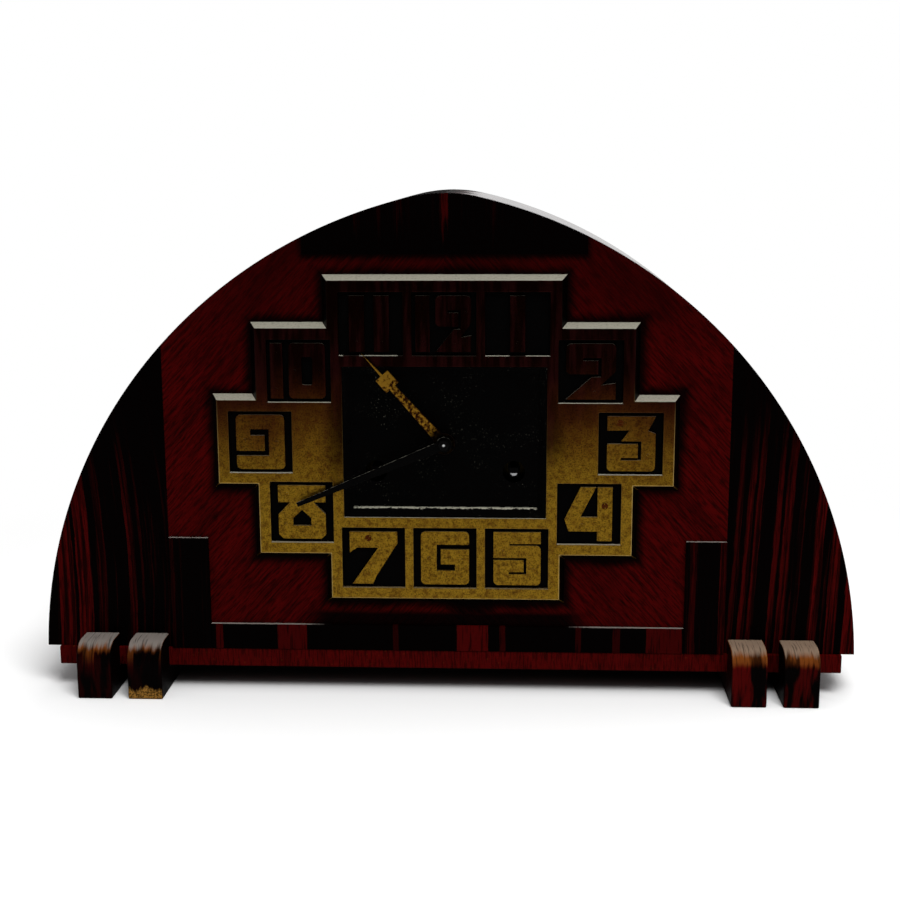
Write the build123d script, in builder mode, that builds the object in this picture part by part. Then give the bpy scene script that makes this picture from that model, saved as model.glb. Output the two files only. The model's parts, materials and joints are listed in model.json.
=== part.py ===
from build123d import *

import os
from math import acos, asin, atan, atan2, cos, degrees, hypot, radians, sin, sqrt

# Pointed-arch shelf clock. Millimetres, +X right, +Y to the back, +Z up.
# The origin is on the floor under the middle of the clock.
# Depths are counted backwards from the front face of the case veneer.

# Case
arch_radius = 268.0
arch_centre_x = 42.2
arch_centre_z = 11.9
case_depth = 110.0
veneer = 0.8
board_thickness = 10.0
shell_thickness = 9.0
floor_thickness = 8.5
panel_thickness = 8.0
panel_recess = 6.0
glue_gap = 0.1
crown_half_width = 76.0
crown_height = 33.6

# Plinth, feet and applied strips
runner_height = 13.1
plinth_height = 10.4
plinth_inset = 7.0
plinth_reach = 2.0
foot_reach = 21.5
foot_width = 19.2
foot_end_inset = 15.3
foot_gap = 9.0
foot_top = 31.5
foot_rounding = 10.5
foot_back_inset = 6.0
strip_thickness = 2.5
post_foot_gap = 2.0
post_width = 22.3
post_height = 63.9
rail_height = 14.5

# Dial
dial_rise = 118.6
frame_thickness = 5.0
frame_bevel = 3.2
frame_rim = 3.0
dial_bar = 6.1
dial_divider = 4.8
row_gap = 5.2
cheek_width = 27.9
window_side_gap = 4.0
window_end_gap = 1.9
numeral_unit = 1.0
numeral_raise = 2.0
ground_thickness = 2.4
tray_half_width = 55.0
tray_half_height = 41.4
tray_slope = 4.2
tray_floor = 0.9
tray_lip = 0.4
tray_sink = 0.2
tray_fit = 0.1
winding_hole = 6.0
pipe_hole = 4.2
dial_pin_radius = 0.8
dial_pin_proud = 0.2
tray_pin_radius = 1.1
tray_pin_inset = 2.8
tray_pin_proud = 0.9
tray_pin_bite = 5.0
pin_fit = 0.02

# Hands
hour_hand_length = 68.0
hour_hand_root = 6.0
hour_hand_neck = 3.9
hour_hand_point = 2.2
lozenge_side = 9.0
lozenge_start = 41.0
hour_hub_radius = 5.8
hour_angle = 318.0
minute_hand_length = 87.0
minute_hand_root = 5.4
minute_hand_waist = 3.6
minute_waist_at = 58.0
minute_hand_tip = 2.4
minute_hub_radius = 4.2
minute_angle = 247.2
hand_thickness = 1.0
hour_hand_clear = 1.6
hand_gap = 1.4
nut_radius = 3.0
nut_thickness = 2.2
nut_facets = 6

# Movement
opening_half_width = 46.0
opening_half_height = 34.0
plate_thickness = 2.0
plate_gap = 38.0
plate_half_width = 68.0
plate_low = -52.0
plate_high = 66.0
pillar_radius = 3.5
pillar_tenon = 2.0
pillar_x = 62.0
pillar_low = -46.0
pillar_high = 60.0
arbor_radius = 1.2
pivot_radius = 0.8
bearing_fit = 0.04
end_shake = 0.2
hub_radius = 4.0
rim_width = 2.2
spoke_width = 2.4
spoke_count = 5
wheel_thickness = 1.5
pinion_length = 3.5

# Teeth, as shares of the module and of the pitch
tooth_addendum = 0.7
tooth_dedendum = 1.1
tooth_root_share = 0.2
tooth_tip_share = 0.09
wheel_teeth = 72
pinion_teeth = 12
barrel_module = 0.75
second_module = 0.6
centre_module = 0.5
upper_module = 0.42
cannon_teeth = 12
minute_wheel_teeth = 36
minute_pinion_teeth = 10
hour_wheel_teeth = 40
cannon_module = 0.75
hour_module = 0.72

# Winding
winding_x = 37.5
winding_drop = 16.5
winding_radius = 3.4
winding_square = 4.7
winding_tip = -2.0
barrel_radius = 24.0
barrel_wall = 1.2
barrel_length = 25.0
barrel_front = 5.0
great_wheel_thickness = 3.0
core_radius = 5.5
core_clear = 1.0
spring_step = 1.2
spring_half_turns = 13
spring_strip = 0.8
spring_gap = 0.3
ratchet_teeth = 16
ratchet_tip = 8.0
ratchet_root = 6.6
ratchet_thickness = 2.0
ratchet_gap = 0.3
click_clear = 0.4
click_rise = 14.0
click_angle = 40.0
click_hub = 3.0
click_heel = 1.5
click_beak = 1.4
stud_radius = 1.4

# Escapement and pendulum
escape_teeth = 30
escape_tip = 12.0
escape_root = 9.4
escape_depth = 24.0
anchor_rise = 16.0
anchor_span = 36.0
anchor_clear = 0.4
anchor_arm = 1.8
anchor_hub = 3.0
crutch_length = 30.0
crutch_width = 4.0
crutch_thickness = 1.5
crutch_behind = 2.0
prong_width = 1.2
prong_gap = 0.4
prong_height = 4.0
pendulum_behind = 9.0
pendulum_thickness = 2.4
pendulum_rod = 2.6
pendulum_length = 110.0
eye_radius = 3.6
bob_radius = 16.0
bob_thickness = 8.0
rating_nut_radius = 4.0
rating_nut_height = 5.0
rating_nut_gap = 2.0
cock_width = 16.0
cock_thickness = 2.0
cock_foot = 6.5
cock_drop = 5.0
cock_stud_clear = 0.6

# Strike
strike_clear = 2.0
pin_wheel_angle = 110.0
fly_angle = 150.0
lift_pin_count = 8
lift_pin_circle = 11.0
lift_pin_radius = 0.8
lift_pin_length = 4.5
fly_half_width = 8.0
fly_depth = 22.0
fly_length = 12.0
fly_thickness = 0.8
hammer_x = -54.0
hammer_rise = 22.0
hammer_tail = 3.0
tail_width = 2.4
tail_clear = 0.4
hammer_arm = 3.0
hammer_behind = 6.0
hammer_head_rise = 30.0
hammer_head_radius = 4.5
hammer_head_length = 12.0
hammer_rest_gap = 1.4
gong_x = -86.0
gong_pitch = 10.0
gong_rod_radius = 1.6
gong_rod_length = 135.0
gong_block_width = 24.0
gong_block_height = 12.0
gong_rise = 60.0
gong_overhang = 6.0
gong_seat = 6.0
gong_flange_width = 12.0
gong_flange_drop = 20.0
gong_flange_thickness = 4.0
upper_depth = 12.0

# Back door and fasteners
door_side_inset = 130.5
door_rise = 24.5
door_top_drop = 71.5
door_gap = 0.8
hinge_height = 30.0
hinge_inset = 30.0
leaf_width = 14.0
leaf_thickness = 1.0
knuckle_radius = 2.2
knuckle_gap = 0.4
knuckle_lift = 0.3
hinge_pin_radius = 1.1
hinge_fit = 0.05
knob_radius = 6.0
knob_neck = 2.5
knob_length = 5.5
knob_inset = 14.0
button_width = 7.0
button_length = 24.0
button_thickness = 1.5
button_seat = 0.3
button_offset = 8.0
button_corner = 3.0
screw_radius = 1.5
screw_fit = 0.05
screw_head = 3.0
screw_head_height = 1.5
screw_slot = 0.7
screw_slot_depth = 0.7
screw_bite = 5.0
plate_screw_x = 63.0
plate_screw_low = -22.0
plate_screw_high = 28.0
panel_screw_inset = 75.0
panel_screw_bite = 10.0
gong_screw_low = 6.0
gong_screw_pitch = 8.0

# Depths and heights that follow from the sizes above
front_y = (foot_reach - case_depth) / 2
case_bottom = runner_height + plinth_height
floor_top = case_bottom + floor_thickness
case_half_width = sqrt(arch_radius**2 - (case_bottom - arch_centre_z) ** 2) - arch_centre_x
case_top = arch_centre_z + sqrt(arch_radius**2 - arch_centre_x**2)
crown_bottom = case_top - crown_height
plinth_half_width = case_half_width - plinth_inset
foot_outer_x = plinth_half_width - foot_end_inset - foot_width
foot_inner_x = foot_outer_x - foot_gap - foot_width
post_outer_x = foot_inner_x - post_foot_gap
post_inner_x = post_outer_x - post_width
dial_z = case_bottom + dial_rise
board_back = veneer + board_thickness
panel_back = case_depth - panel_recess
panel_front = panel_back - panel_thickness
front_plate_back = board_back + plate_thickness
back_plate_front = front_plate_back + plate_gap
back_plate_back = back_plate_front + plate_thickness
frame_front = -frame_thickness
ground_front = -ground_thickness
numeral_front = ground_front - numeral_raise
hour_hand_back = frame_front - hour_hand_clear
hour_hand_front = hour_hand_back - hand_thickness
minute_hand_back = hour_hand_front - hand_gap
minute_hand_front = minute_hand_back - hand_thickness
nut_front = minute_hand_front - nut_thickness


def upright(depth):
    """Upright plane that faces the viewer at a depth behind the case front."""
    return Plane(origin=(0, front_y + depth, 0), x_dir=(1, 0, 0), z_dir=(0, -1, 0))


def beside(place, distance, angle):
    """Place at a distance and an angle in degrees from another place on the front."""
    return (place[0] + distance * cos(radians(angle)), place[1] + distance * sin(radians(angle)))


def bearing(start, end):
    """Angle in degrees from one place to another."""
    return degrees(atan2(end[1] - start[1], end[0] - start[0]))


def meeting(first, first_reach, second, second_reach, side):
    """Place at two given distances from two places, on one side of the line between them."""
    span = hypot(second[0] - first[0], second[1] - first[1])
    along = (first_reach**2 - second_reach**2 + span**2) / (2 * span)
    turn = degrees(acos(along / first_reach))
    return beside(first, first_reach, bearing(first, second) + side * turn)


def lancet(inset, low):
    """Pointed arch of two arcs drawn in by an inset, closed by a level line."""
    radius = arch_radius - inset
    foot = degrees(asin((low - arch_centre_z) / radius))
    sweep = degrees(acos(arch_centre_x / radius)) - foot
    with BuildSketch() as shape:
        with BuildLine():
            right = CenterArc((-arch_centre_x, arch_centre_z), radius, foot, sweep)
            left = CenterArc((arch_centre_x, arch_centre_z), radius, 180 - foot - sweep, sweep)
            Line(left @ 1, right @ 0)
        make_face()
    return shape.sketch


def slab(outline, front, back):
    """Plate of a flat outline between two depths."""
    with BuildPart() as plate:
        with BuildSketch(upright(back)):
            add(outline)
        extrude(amount=back - front)
    return plate.part


def rod(place, radius, front, back):
    """Round bar along the depth, at a place on the front, between two depths."""
    with BuildPart() as bar:
        with BuildSketch(upright(back)):
            with Locations(place):
                Circle(radius)
        extrude(amount=back - front)
    return bar.part


def strip(left, right, low, high):
    """Rectangle on the front between two sides and two heights."""
    with BuildSketch() as shape:
        with Locations(((left + right) / 2, (low + high) / 2)):
            Rectangle(right - left, high - low)
    return shape.sketch


def polygon(points):
    """Straight-sided face through points on the front."""
    with BuildSketch() as shape:
        with BuildLine():
            Polyline(*points, close=True)
        make_face()
    return shape.sketch


# Case
tray_pin_places = [(side * (tray_half_width - tray_pin_inset), dial_z) for side in (-1, 1)]
movement_screw_places = [
    (side * plate_screw_x, dial_z + height)
    for side in (-1, 1)
    for height in (plate_screw_low, plate_screw_high)
]
gong_middle = gong_x - gong_pitch / 2
gong_bottom = dial_z + gong_rise
flange_bottom = gong_bottom - gong_flange_drop
gong_screw_places = [
    (gong_middle, flange_bottom + gong_screw_low + count * gong_screw_pitch) for count in range(2)
]

with BuildPart() as front_board:
    with BuildSketch(upright(board_back)):
        add(lancet(0, case_bottom))
        with Locations((0, dial_z)):
            Rectangle(2 * opening_half_width, 2 * opening_half_height, mode=Mode.SUBTRACT)
    extrude(amount=board_thickness)
    with BuildSketch(upright(board_back)):
        with Locations(*movement_screw_places, *gong_screw_places):
            Circle(screw_radius + screw_fit)
    extrude(amount=screw_bite, mode=Mode.SUBTRACT)
    with BuildSketch(upright(veneer + tray_pin_bite)):
        with Locations(*tray_pin_places):
            Circle(tray_pin_radius + pin_fit)
    extrude(amount=tray_pin_bite, mode=Mode.SUBTRACT)


def veneer_sheet(*regions, crown=False):
    """Sheet of front veneer cut to the regions, round the dial opening and the tray pins."""
    with BuildPart() as sheet:
        with BuildSketch(upright(veneer)):
            for region in regions:
                add(region)
            add(lancet(0, case_bottom), mode=Mode.INTERSECT)
            if not crown:
                add(crown_region, mode=Mode.SUBTRACT)
                with Locations((0, dial_z)):
                    Rectangle(2 * opening_half_width, 2 * opening_half_height, mode=Mode.SUBTRACT)
                with Locations(*tray_pin_places):
                    Circle(tray_pin_radius + pin_fit, mode=Mode.SUBTRACT)
        extrude(amount=veneer)
    return sheet


crown_region = strip(-crown_half_width, crown_half_width, crown_bottom, case_top)
crown_veneer = veneer_sheet(crown_region, crown=True)
field_veneer_left = veneer_sheet(strip(-post_outer_x, 0, case_bottom, case_top))
field_veneer_right = veneer_sheet(strip(0, post_outer_x, case_bottom, case_top))
side_veneer_left = veneer_sheet(strip(-case_half_width, -post_outer_x, case_bottom, case_top))
side_veneer_right = veneer_sheet(strip(post_outer_x, case_half_width, case_bottom, case_top))


def arch_half(side):
    """Half of the bent case shell, from the plinth to the point."""
    with BuildPart() as half:
        with BuildSketch(upright(case_depth)):
            add(lancet(0, case_bottom))
            add(lancet(shell_thickness, case_bottom), mode=Mode.SUBTRACT)
            with Locations((side * arch_radius / 2, arch_radius / 2)):
                Rectangle(arch_radius, 2 * arch_radius, mode=Mode.INTERSECT)
        extrude(amount=case_depth - board_back)
    return half


arch_left = arch_half(-1)
arch_right = arch_half(1)

panel_screw_places = [
    (side * (case_half_width - panel_screw_inset), case_bottom + floor_thickness / 2) for side in (-1, 0, 1)
]

with BuildPart() as case_floor:
    with BuildSketch(upright(panel_front)):
        add(lancet(shell_thickness + glue_gap, case_bottom))
        add(strip(-arch_radius, arch_radius, case_bottom, floor_top), mode=Mode.INTERSECT)
    extrude(amount=panel_front - board_back)
    with BuildSketch(upright(panel_front)):
        with Locations(*panel_screw_places):
            Circle(screw_radius + screw_fit)
    extrude(amount=panel_screw_bite, mode=Mode.SUBTRACT)

with BuildPart() as plinth_board:
    with BuildSketch(upright(case_depth)):
        add(strip(-plinth_half_width, plinth_half_width, runner_height, case_bottom))
    extrude(amount=case_depth + plinth_reach)

with BuildPart() as upper_rail:
    with BuildSketch(upright(0)):
        add(strip(-post_inner_x, post_inner_x, case_bottom, case_bottom + rail_height))
    extrude(amount=strip_thickness)


def post(side):
    """Raised block at one end of the upper rail."""
    edges = sorted((side * post_inner_x, side * post_outer_x))
    with BuildPart() as block:
        with BuildSketch(upright(0)):
            add(strip(*edges, case_bottom, case_bottom + post_height))
        extrude(amount=strip_thickness)
    return block


post_left = post(-1)
post_right = post(1)


def foot(inner_x, side):
    """Runner under the plinth, with a rounded block standing in front of the case."""
    nose = front_y - foot_reach
    plinth_front = front_y - plinth_reach
    heel = front_y + case_depth - foot_back_inset
    start = inner_x if side > 0 else -inner_x - foot_width
    profile_plane = Plane(origin=(start, 0, 0), x_dir=(0, 1, 0), z_dir=(1, 0, 0))
    with BuildPart() as runner:
        with BuildSketch(profile_plane):
            with BuildLine():
                Line((nose, 0), (nose, foot_top - foot_rounding))
                RadiusArc((nose, foot_top - foot_rounding), (nose + foot_rounding, foot_top), foot_rounding)
                Polyline(
                    (nose + foot_rounding, foot_top),
                    (front_y, foot_top),
                    (front_y, case_bottom),
                    (plinth_front, case_bottom),
                    (plinth_front, runner_height),
                    (heel, runner_height),
                    (heel, 0),
                    (nose, 0),
                )
            make_face()
        extrude(amount=foot_width)
    return runner


foot_inner_left = foot(foot_inner_x, -1)
foot_outer_left = foot(foot_outer_x, -1)
foot_inner_right = foot(foot_inner_x, 1)
foot_outer_right = foot(foot_outer_x, 1)

# Back panel and door
door_half_width = case_half_width - door_side_inset
door_bottom = case_bottom + door_rise
door_top = case_top - door_top_drop
door_middle = (door_bottom + door_top) / 2
hinge_x = -door_half_width
hinge_depth = panel_back + knuckle_radius + knuckle_lift
hinge_heights = [door_bottom + hinge_inset, door_top - hinge_inset]
leaf_screw_x = (leaf_width + knuckle_radius + knuckle_gap) / 2
leaf_screw_z = hinge_height / 4
button_place = (door_half_width + button_offset, door_middle)


def leaf_screw_places(side):
    """Screw places of the leaves on one side of the hinge line."""
    return [
        (hinge_x + side * leaf_screw_x, height + end * leaf_screw_z)
        for height in hinge_heights
        for end in (-1, 1)
    ]


with BuildPart() as back_panel:
    with BuildSketch(upright(panel_back)):
        add(lancet(shell_thickness + glue_gap, case_bottom))
        add(strip(-door_half_width, door_half_width, door_bottom, door_top), mode=Mode.SUBTRACT)
        with Locations(*panel_screw_places):
            Circle(screw_radius + screw_fit, mode=Mode.SUBTRACT)
    extrude(amount=panel_thickness)
    with BuildSketch(upright(panel_back)):
        with Locations(*leaf_screw_places(-1), button_place):
            Circle(screw_radius + screw_fit)
    extrude(amount=screw_bite, mode=Mode.SUBTRACT)

knob_place = (door_half_width - knob_inset, door_middle)

with BuildPart() as back_door:
    with BuildSketch(upright(panel_back)):
        edge = door_half_width - door_gap
        add(strip(-edge, edge, door_bottom + door_gap, door_top - door_gap))
    extrude(amount=panel_thickness)
    with BuildSketch(upright(panel_back)):
        with Locations(*leaf_screw_places(1)):
            Circle(screw_radius + screw_fit)
        with Locations(knob_place):
            Circle(knob_neck + pin_fit)
    extrude(amount=screw_bite, mode=Mode.SUBTRACT)

knob_plane = Plane(
    origin=(knob_place[0], front_y + panel_back, knob_place[1]), x_dir=(1, 0, 0), z_dir=(0, 0, 1)
)

with BuildPart() as door_knob:
    with BuildSketch(knob_plane):
        with BuildLine():
            Polyline((0, -screw_bite), (knob_neck, -screw_bite), (knob_neck, knob_length / 3))
            ThreePointArc(
                (knob_neck, knob_length / 3), (knob_radius, 2 * knob_length / 3), (knob_neck, knob_length)
            )
            Polyline((knob_neck, knob_length), (0, knob_length), (0, -screw_bite))
        make_face()
    revolve(axis=Axis(knob_plane.origin, (0, 1, 0)))


def hinge_leaves(side, spans):
    """Both leaves on one side of the hinge line, with knuckles at the given spans of their height."""
    inner = knuckle_radius + knuckle_gap
    with BuildPart() as leaves:
        for height in hinge_heights:
            plate = sorted((hinge_x + side * inner, hinge_x + side * leaf_width))
            low = height - hinge_height / 2
            add(slab(strip(*plate, low, low + hinge_height), panel_back, panel_back + leaf_thickness))
            for start, end in spans:
                tongue = sorted((hinge_x, hinge_x + side * inner))
                reach = strip(*tongue, low + start, low + end)
                add(slab(reach, panel_back, panel_back + leaf_thickness))
                with BuildSketch(Plane.XY.offset(low + start)):
                    with Locations((hinge_x, front_y + hinge_depth)):
                        Circle(knuckle_radius)
                extrude(amount=end - start)
            with BuildSketch(Plane.XY.offset(low)):
                with Locations((hinge_x, front_y + hinge_depth)):
                    Circle(hinge_pin_radius + hinge_fit)
            extrude(amount=hinge_height, mode=Mode.SUBTRACT)
        with BuildSketch(upright(panel_back + leaf_thickness)):
            with Locations(*leaf_screw_places(side)):
                Circle(screw_radius + screw_fit)
        extrude(amount=leaf_thickness, mode=Mode.SUBTRACT)
    return leaves


third = hinge_height / 3
hinge_case_leaves = hinge_leaves(
    -1, [(0, third - knuckle_gap / 2), (2 * third + knuckle_gap / 2, hinge_height)]
)
hinge_door_leaves = hinge_leaves(1, [(third + knuckle_gap / 2, 2 * third - knuckle_gap / 2)])

with BuildPart() as hinge_pins:
    for height in hinge_heights:
        with BuildSketch(Plane.XY.offset(height - hinge_height / 2)):
            with Locations((hinge_x, front_y + hinge_depth)):
                Circle(hinge_pin_radius)
        extrude(amount=hinge_height)

with BuildPart() as turn_button:
    with BuildSketch(upright(panel_back + button_seat + button_thickness)):
        with Locations(button_place):
            RectangleRounded(button_width, button_length, button_corner)
            Circle(screw_radius + screw_fit, mode=Mode.SUBTRACT)
    extrude(amount=button_thickness)


def screw(place, seat, length):
    """Slotted screw driven from the back, its head on a seat and its shank in front of it."""
    top = seat + screw_head_height
    with BuildPart() as fastener:
        add(rod(place, screw_head, seat, top))
        add(rod(place, screw_radius, seat - length, seat))
        with BuildSketch(upright(top)):
            with Locations(place):
                Rectangle(2 * screw_head, screw_slot)
        extrude(amount=screw_slot_depth, mode=Mode.SUBTRACT)
    return fastener.part


leaf_back = panel_back + leaf_thickness
button_back = panel_back + 2 * button_seat + button_thickness
flange_back = board_back + gong_flange_thickness

with BuildPart() as wood_screws:
    for place in movement_screw_places:
        add(screw(place, front_plate_back, plate_thickness + screw_bite))
    for place in gong_screw_places:
        add(screw(place, flange_back, gong_flange_thickness + screw_bite))
    for place in panel_screw_places:
        add(screw(place, panel_back, panel_thickness + panel_screw_bite))
    for place in leaf_screw_places(-1):
        add(screw(place, leaf_back, leaf_thickness + screw_bite))
    add(screw(button_place, button_back, button_back - panel_back + screw_bite))

with BuildPart() as hinge_door_screws:
    for place in leaf_screw_places(1):
        add(screw(place, leaf_back, leaf_thickness + screw_bite))

# Dial
numeral_half_width = 13.2 * numeral_unit
numeral_half_height = 15 * numeral_unit
window_half_width = numeral_half_width + window_side_gap
window_half_height = numeral_half_height + window_end_gap
top_row_x = 2 * window_half_width + dial_divider
top_row_z = tray_half_height + dial_bar + window_half_height
shoulder_x = tray_half_width + dial_bar + window_half_width
shoulder_z = 2 * window_half_height + row_gap
side_x = tray_half_width + cheek_width + window_half_width
window_offsets = {
    1: (top_row_x, top_row_z),
    2: (shoulder_x, shoulder_z),
    3: (side_x, 0),
    4: (shoulder_x, -shoulder_z),
    5: (top_row_x, -top_row_z),
    6: (0, -top_row_z),
    7: (-top_row_x, -top_row_z),
    8: (-shoulder_x, -shoulder_z),
    9: (-side_x, 0),
    10: (-shoulder_x, shoulder_z),
    11: (-top_row_x, top_row_z),
    12: (0, top_row_z),
}
window_places = {hour: (x, dial_z + z) for hour, (x, z) in window_offsets.items()}
dial_blocks = [
    (top_row_x + window_half_width + dial_bar, top_row_z + window_half_height + dial_bar),
    (shoulder_x + window_half_width + dial_bar, shoulder_z + window_half_height + dial_bar),
    (side_x + window_half_width + dial_bar, window_half_height + dial_bar),
]


def stepped(inset):
    """Stepped dial outline of three crossing blocks, each drawn in by an inset."""
    with BuildSketch() as shape:
        with Locations((0, dial_z)):
            for half_width, half_height in dial_blocks:
                Rectangle(2 * (half_width - inset), 2 * (half_height - inset))
    return shape.sketch


with BuildPart() as dial_frame:
    for half_width, half_height in dial_blocks:
        with BuildSketch(upright(0)):
            with Locations((0, dial_z)):
                Rectangle(2 * (half_width + frame_bevel), 2 * (half_height + frame_bevel))
        extrude(amount=frame_thickness, taper=degrees(atan(frame_bevel / frame_thickness)))
    with BuildSketch(upright(0)):
        with Locations((0, dial_z)):
            Rectangle(2 * tray_half_width, 2 * tray_half_height)
        with Locations(*window_places.values()):
            Rectangle(2 * window_half_width, 2 * window_half_height)
    extrude(amount=frame_thickness, mode=Mode.SUBTRACT)
    with BuildSketch(upright(0)):
        add(stepped(frame_rim))
    extrude(amount=ground_thickness, mode=Mode.SUBTRACT)


def bar(left, right, low, high, rounding=0):
    """Upright rectangle of a numeral between grid lines, its corners rounded where asked."""
    middle = ((left + right) / 2 * numeral_unit, (low + high) / 2 * numeral_unit)
    width = (right - left) * numeral_unit
    height = (high - low) * numeral_unit
    with BuildSketch() as shape:
        with Locations(middle):
            if rounding:
                RectangleRounded(width, height, rounding * numeral_unit)
            else:
                Rectangle(width, height)
    return shape.sketch


def facet(*points):
    """Straight-sided face of a numeral through grid points."""
    return polygon([(x * numeral_unit, z * numeral_unit) for x, z in points])


def glyph(solids, slots=()):
    """Numeral of joined faces with slots cut through them."""
    with BuildSketch() as shape:
        for face in solids:
            add(face)
        for face in slots:
            add(face, mode=Mode.SUBTRACT)
    return shape.sketch


def one(middle, half_width):
    """Plain upright bar about a grid line."""
    return bar(middle - half_width, middle + half_width, -15, 15)


def two(middle, narrow):
    """Two with a hooked slot in its bowl, drawn narrow by a factor."""
    x = [middle + narrow * column for column in (-13.2, -4.2, 0.5, 3.8, 5.5, 12.5, 13.2)]
    bowl = bar(x[0], x[6], -1.4, 15, 2.6)
    base = facet(
        (x[0], -15), (x[6], -15), (x[6], -6.2), (x[4], -7.2), (x[5], -0.4), (x[4], -0.4),
        (x[4], -2.9), (x[2], -2.9),
    )
    return glyph([bowl, base], [bar(x[3], x[4], -1.4, 7.3), bar(x[1], x[4], 5.9, 7.3)])


def nine():
    """Nine as a block with one slot that turns inwards twice."""
    slots = [bar(-13.2, 4.6, -7.6, -4.9), bar(2.3, 4.6, -7.6, 7.1), bar(-5.5, 4.6, 3.6, 7.1)]
    return glyph([bar(-13.2, 13.2, -15, 15, 2.6)], slots)


def numeral_shape(hour):
    """Flat shape of a dial number on a grid about the middle of its window."""
    if hour == 1:
        return one(0, 4)
    if hour == 2:
        return two(0, 1)
    if hour == 3:
        top = facet(
            (-12.6, 15), (13.2, 15), (9.2, 7.2), (13.2, 5.6), (13.2, -2), (6, -2), (6, 1.4), (-5, 1.4),
            (-0.8, 7.4), (-12.6, 7.2),
        )
        slots = [bar(-12.6, 5.7, -0.1, 1.4), bar(3.9, 5.7, -9, 1.4), bar(-5, 5.7, -9, -7.7)]
        return glyph([top, bar(-12.6, 13.2, -15, 1.4, 2.4)], slots)
    if hour == 4:
        sail = facet(
            (-4.6, 15), (3.8, 15), (-4.6, -1.7), (4.6, -1.7), (4.6, -9.7), (-10.9, -9.7), (-13.2, -2.9)
        )
        return glyph([sail, bar(4.6, 12.6, -15, 15)])
    if hour == 5:
        solids = [bar(-12.6, 13.2, 8.4, 15), bar(-12.6, -3.8, 0.4, 15), bar(-12.6, 13.2, -15, 7.4, 2.6)]
        slots = [bar(-12.6, 5.4, -0.8, 0.4), bar(3.9, 5.4, -8.8, 0.4), bar(-4.2, 5.4, -8.8, -7.6)]
        return glyph(solids, slots)
    if hour == 6:
        with BuildSketch() as turned:
            add(nine(), rotation=180)
        return turned.sketch
    if hour == 7:
        return facet(
            (-13.2, 14.6), (13, 14.6), (13.2, 8.4), (1.3, -10.5), (-0.6, -15), (-11.9, -15), (2.5, 5.6),
            (-9.2, 5.6), (-13.2, 2.8),
        )
    if hour == 8:
        body = facet(
            (-6, 6), (6, 6), (13, -1.3), (13, -12.5), (10.5, -15), (-10.5, -15), (-13, -12.5), (-13, -1.3)
        )
        hole = facet((0, 1.3), (5, -3.4), (5, -7.6), (-5, -7.6), (-5, -3.4))
        return glyph([bar(-13, 13, 5.5, 15), body], [hole])
    if hour == 9:
        return nine()
    if hour == 10:
        return glyph([one(-12, 3.4), bar(-5.4, 14.4, -15, 15, 2.6)], [bar(1.6, 7.4, -7.6, 7.6, 1)])
    if hour == 11:
        return glyph([one(-7.4, 4.1), one(5.8, 4.1)])
    return glyph([one(-11.4, 3.8), two(5, 0.72)])


# Pins of each numeral, on the numerals' grid
numeral_pin_grid = {
    1: [(0, 10), (0, -10)],
    2: [(9.4, 6), (2, -11)],
    3: [(-5.8, 11.4), (9.5, -6)],
    4: [(8.6, 4.6), (-4, -6)],
    5: [(-8.2, 4.4), (9.3, -6)],
    6: [(-9, 0), (8.8, -1)],
    7: [(-2.9, 11), (-2, -8)],
    8: [(-8, 10.4), (-9, -7)],
    9: [(9, 0), (-8.8, 1)],
    10: [(-12, 10), (-12, -10), (-2, 0), (11, 0)],
    11: [(-7.4, 10), (-7.4, -10), (5.8, 10), (5.8, -10)],
    12: [(-11.4, 10), (-11.4, -10), (11.8, 6), (6, -11)],
}
numeral_pin_places = {
    hour: [(x * numeral_unit, z * numeral_unit) for x, z in grid] for hour, grid in numeral_pin_grid.items()
}


def moved(place, offset):
    """Place shifted by an offset."""
    return (place[0] + offset[0], place[1] + offset[1])


with BuildPart() as numerals:
    for hour, window in window_places.items():
        with BuildSketch(upright(ground_front)):
            with Locations(window):
                add(numeral_shape(hour))
                with Locations(*numeral_pin_places[hour]):
                    Circle(dial_pin_radius + pin_fit, mode=Mode.SUBTRACT)
        extrude(amount=numeral_raise)

dial_pin_spots = [
    moved(window, offset) for hour, window in window_places.items() for offset in numeral_pin_places[hour]
]

with BuildPart() as dial_ground:
    with BuildSketch(upright(0)):
        add(stepped(frame_rim + tray_fit))
        with Locations((0, dial_z)):
            Rectangle(2 * tray_half_width, 2 * tray_half_height, mode=Mode.SUBTRACT)
        with Locations(*dial_pin_spots):
            Circle(dial_pin_radius + pin_fit, mode=Mode.SUBTRACT)
    extrude(amount=ground_thickness)

with BuildPart() as dial_pins:
    for spot in dial_pin_spots:
        add(rod(spot, dial_pin_radius, numeral_front - dial_pin_proud, 0))
    for spot in tray_pin_places:
        slope_depth = (frame_thickness - tray_sink - tray_floor) * (tray_pin_inset / tray_slope)
        tray_pin_front = -frame_thickness + tray_sink + slope_depth - tray_pin_proud
        add(rod(spot, tray_pin_radius, tray_pin_front, veneer + tray_pin_bite))

winding_places = [(side * winding_x, dial_z - winding_drop) for side in (-1, 1)]

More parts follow.
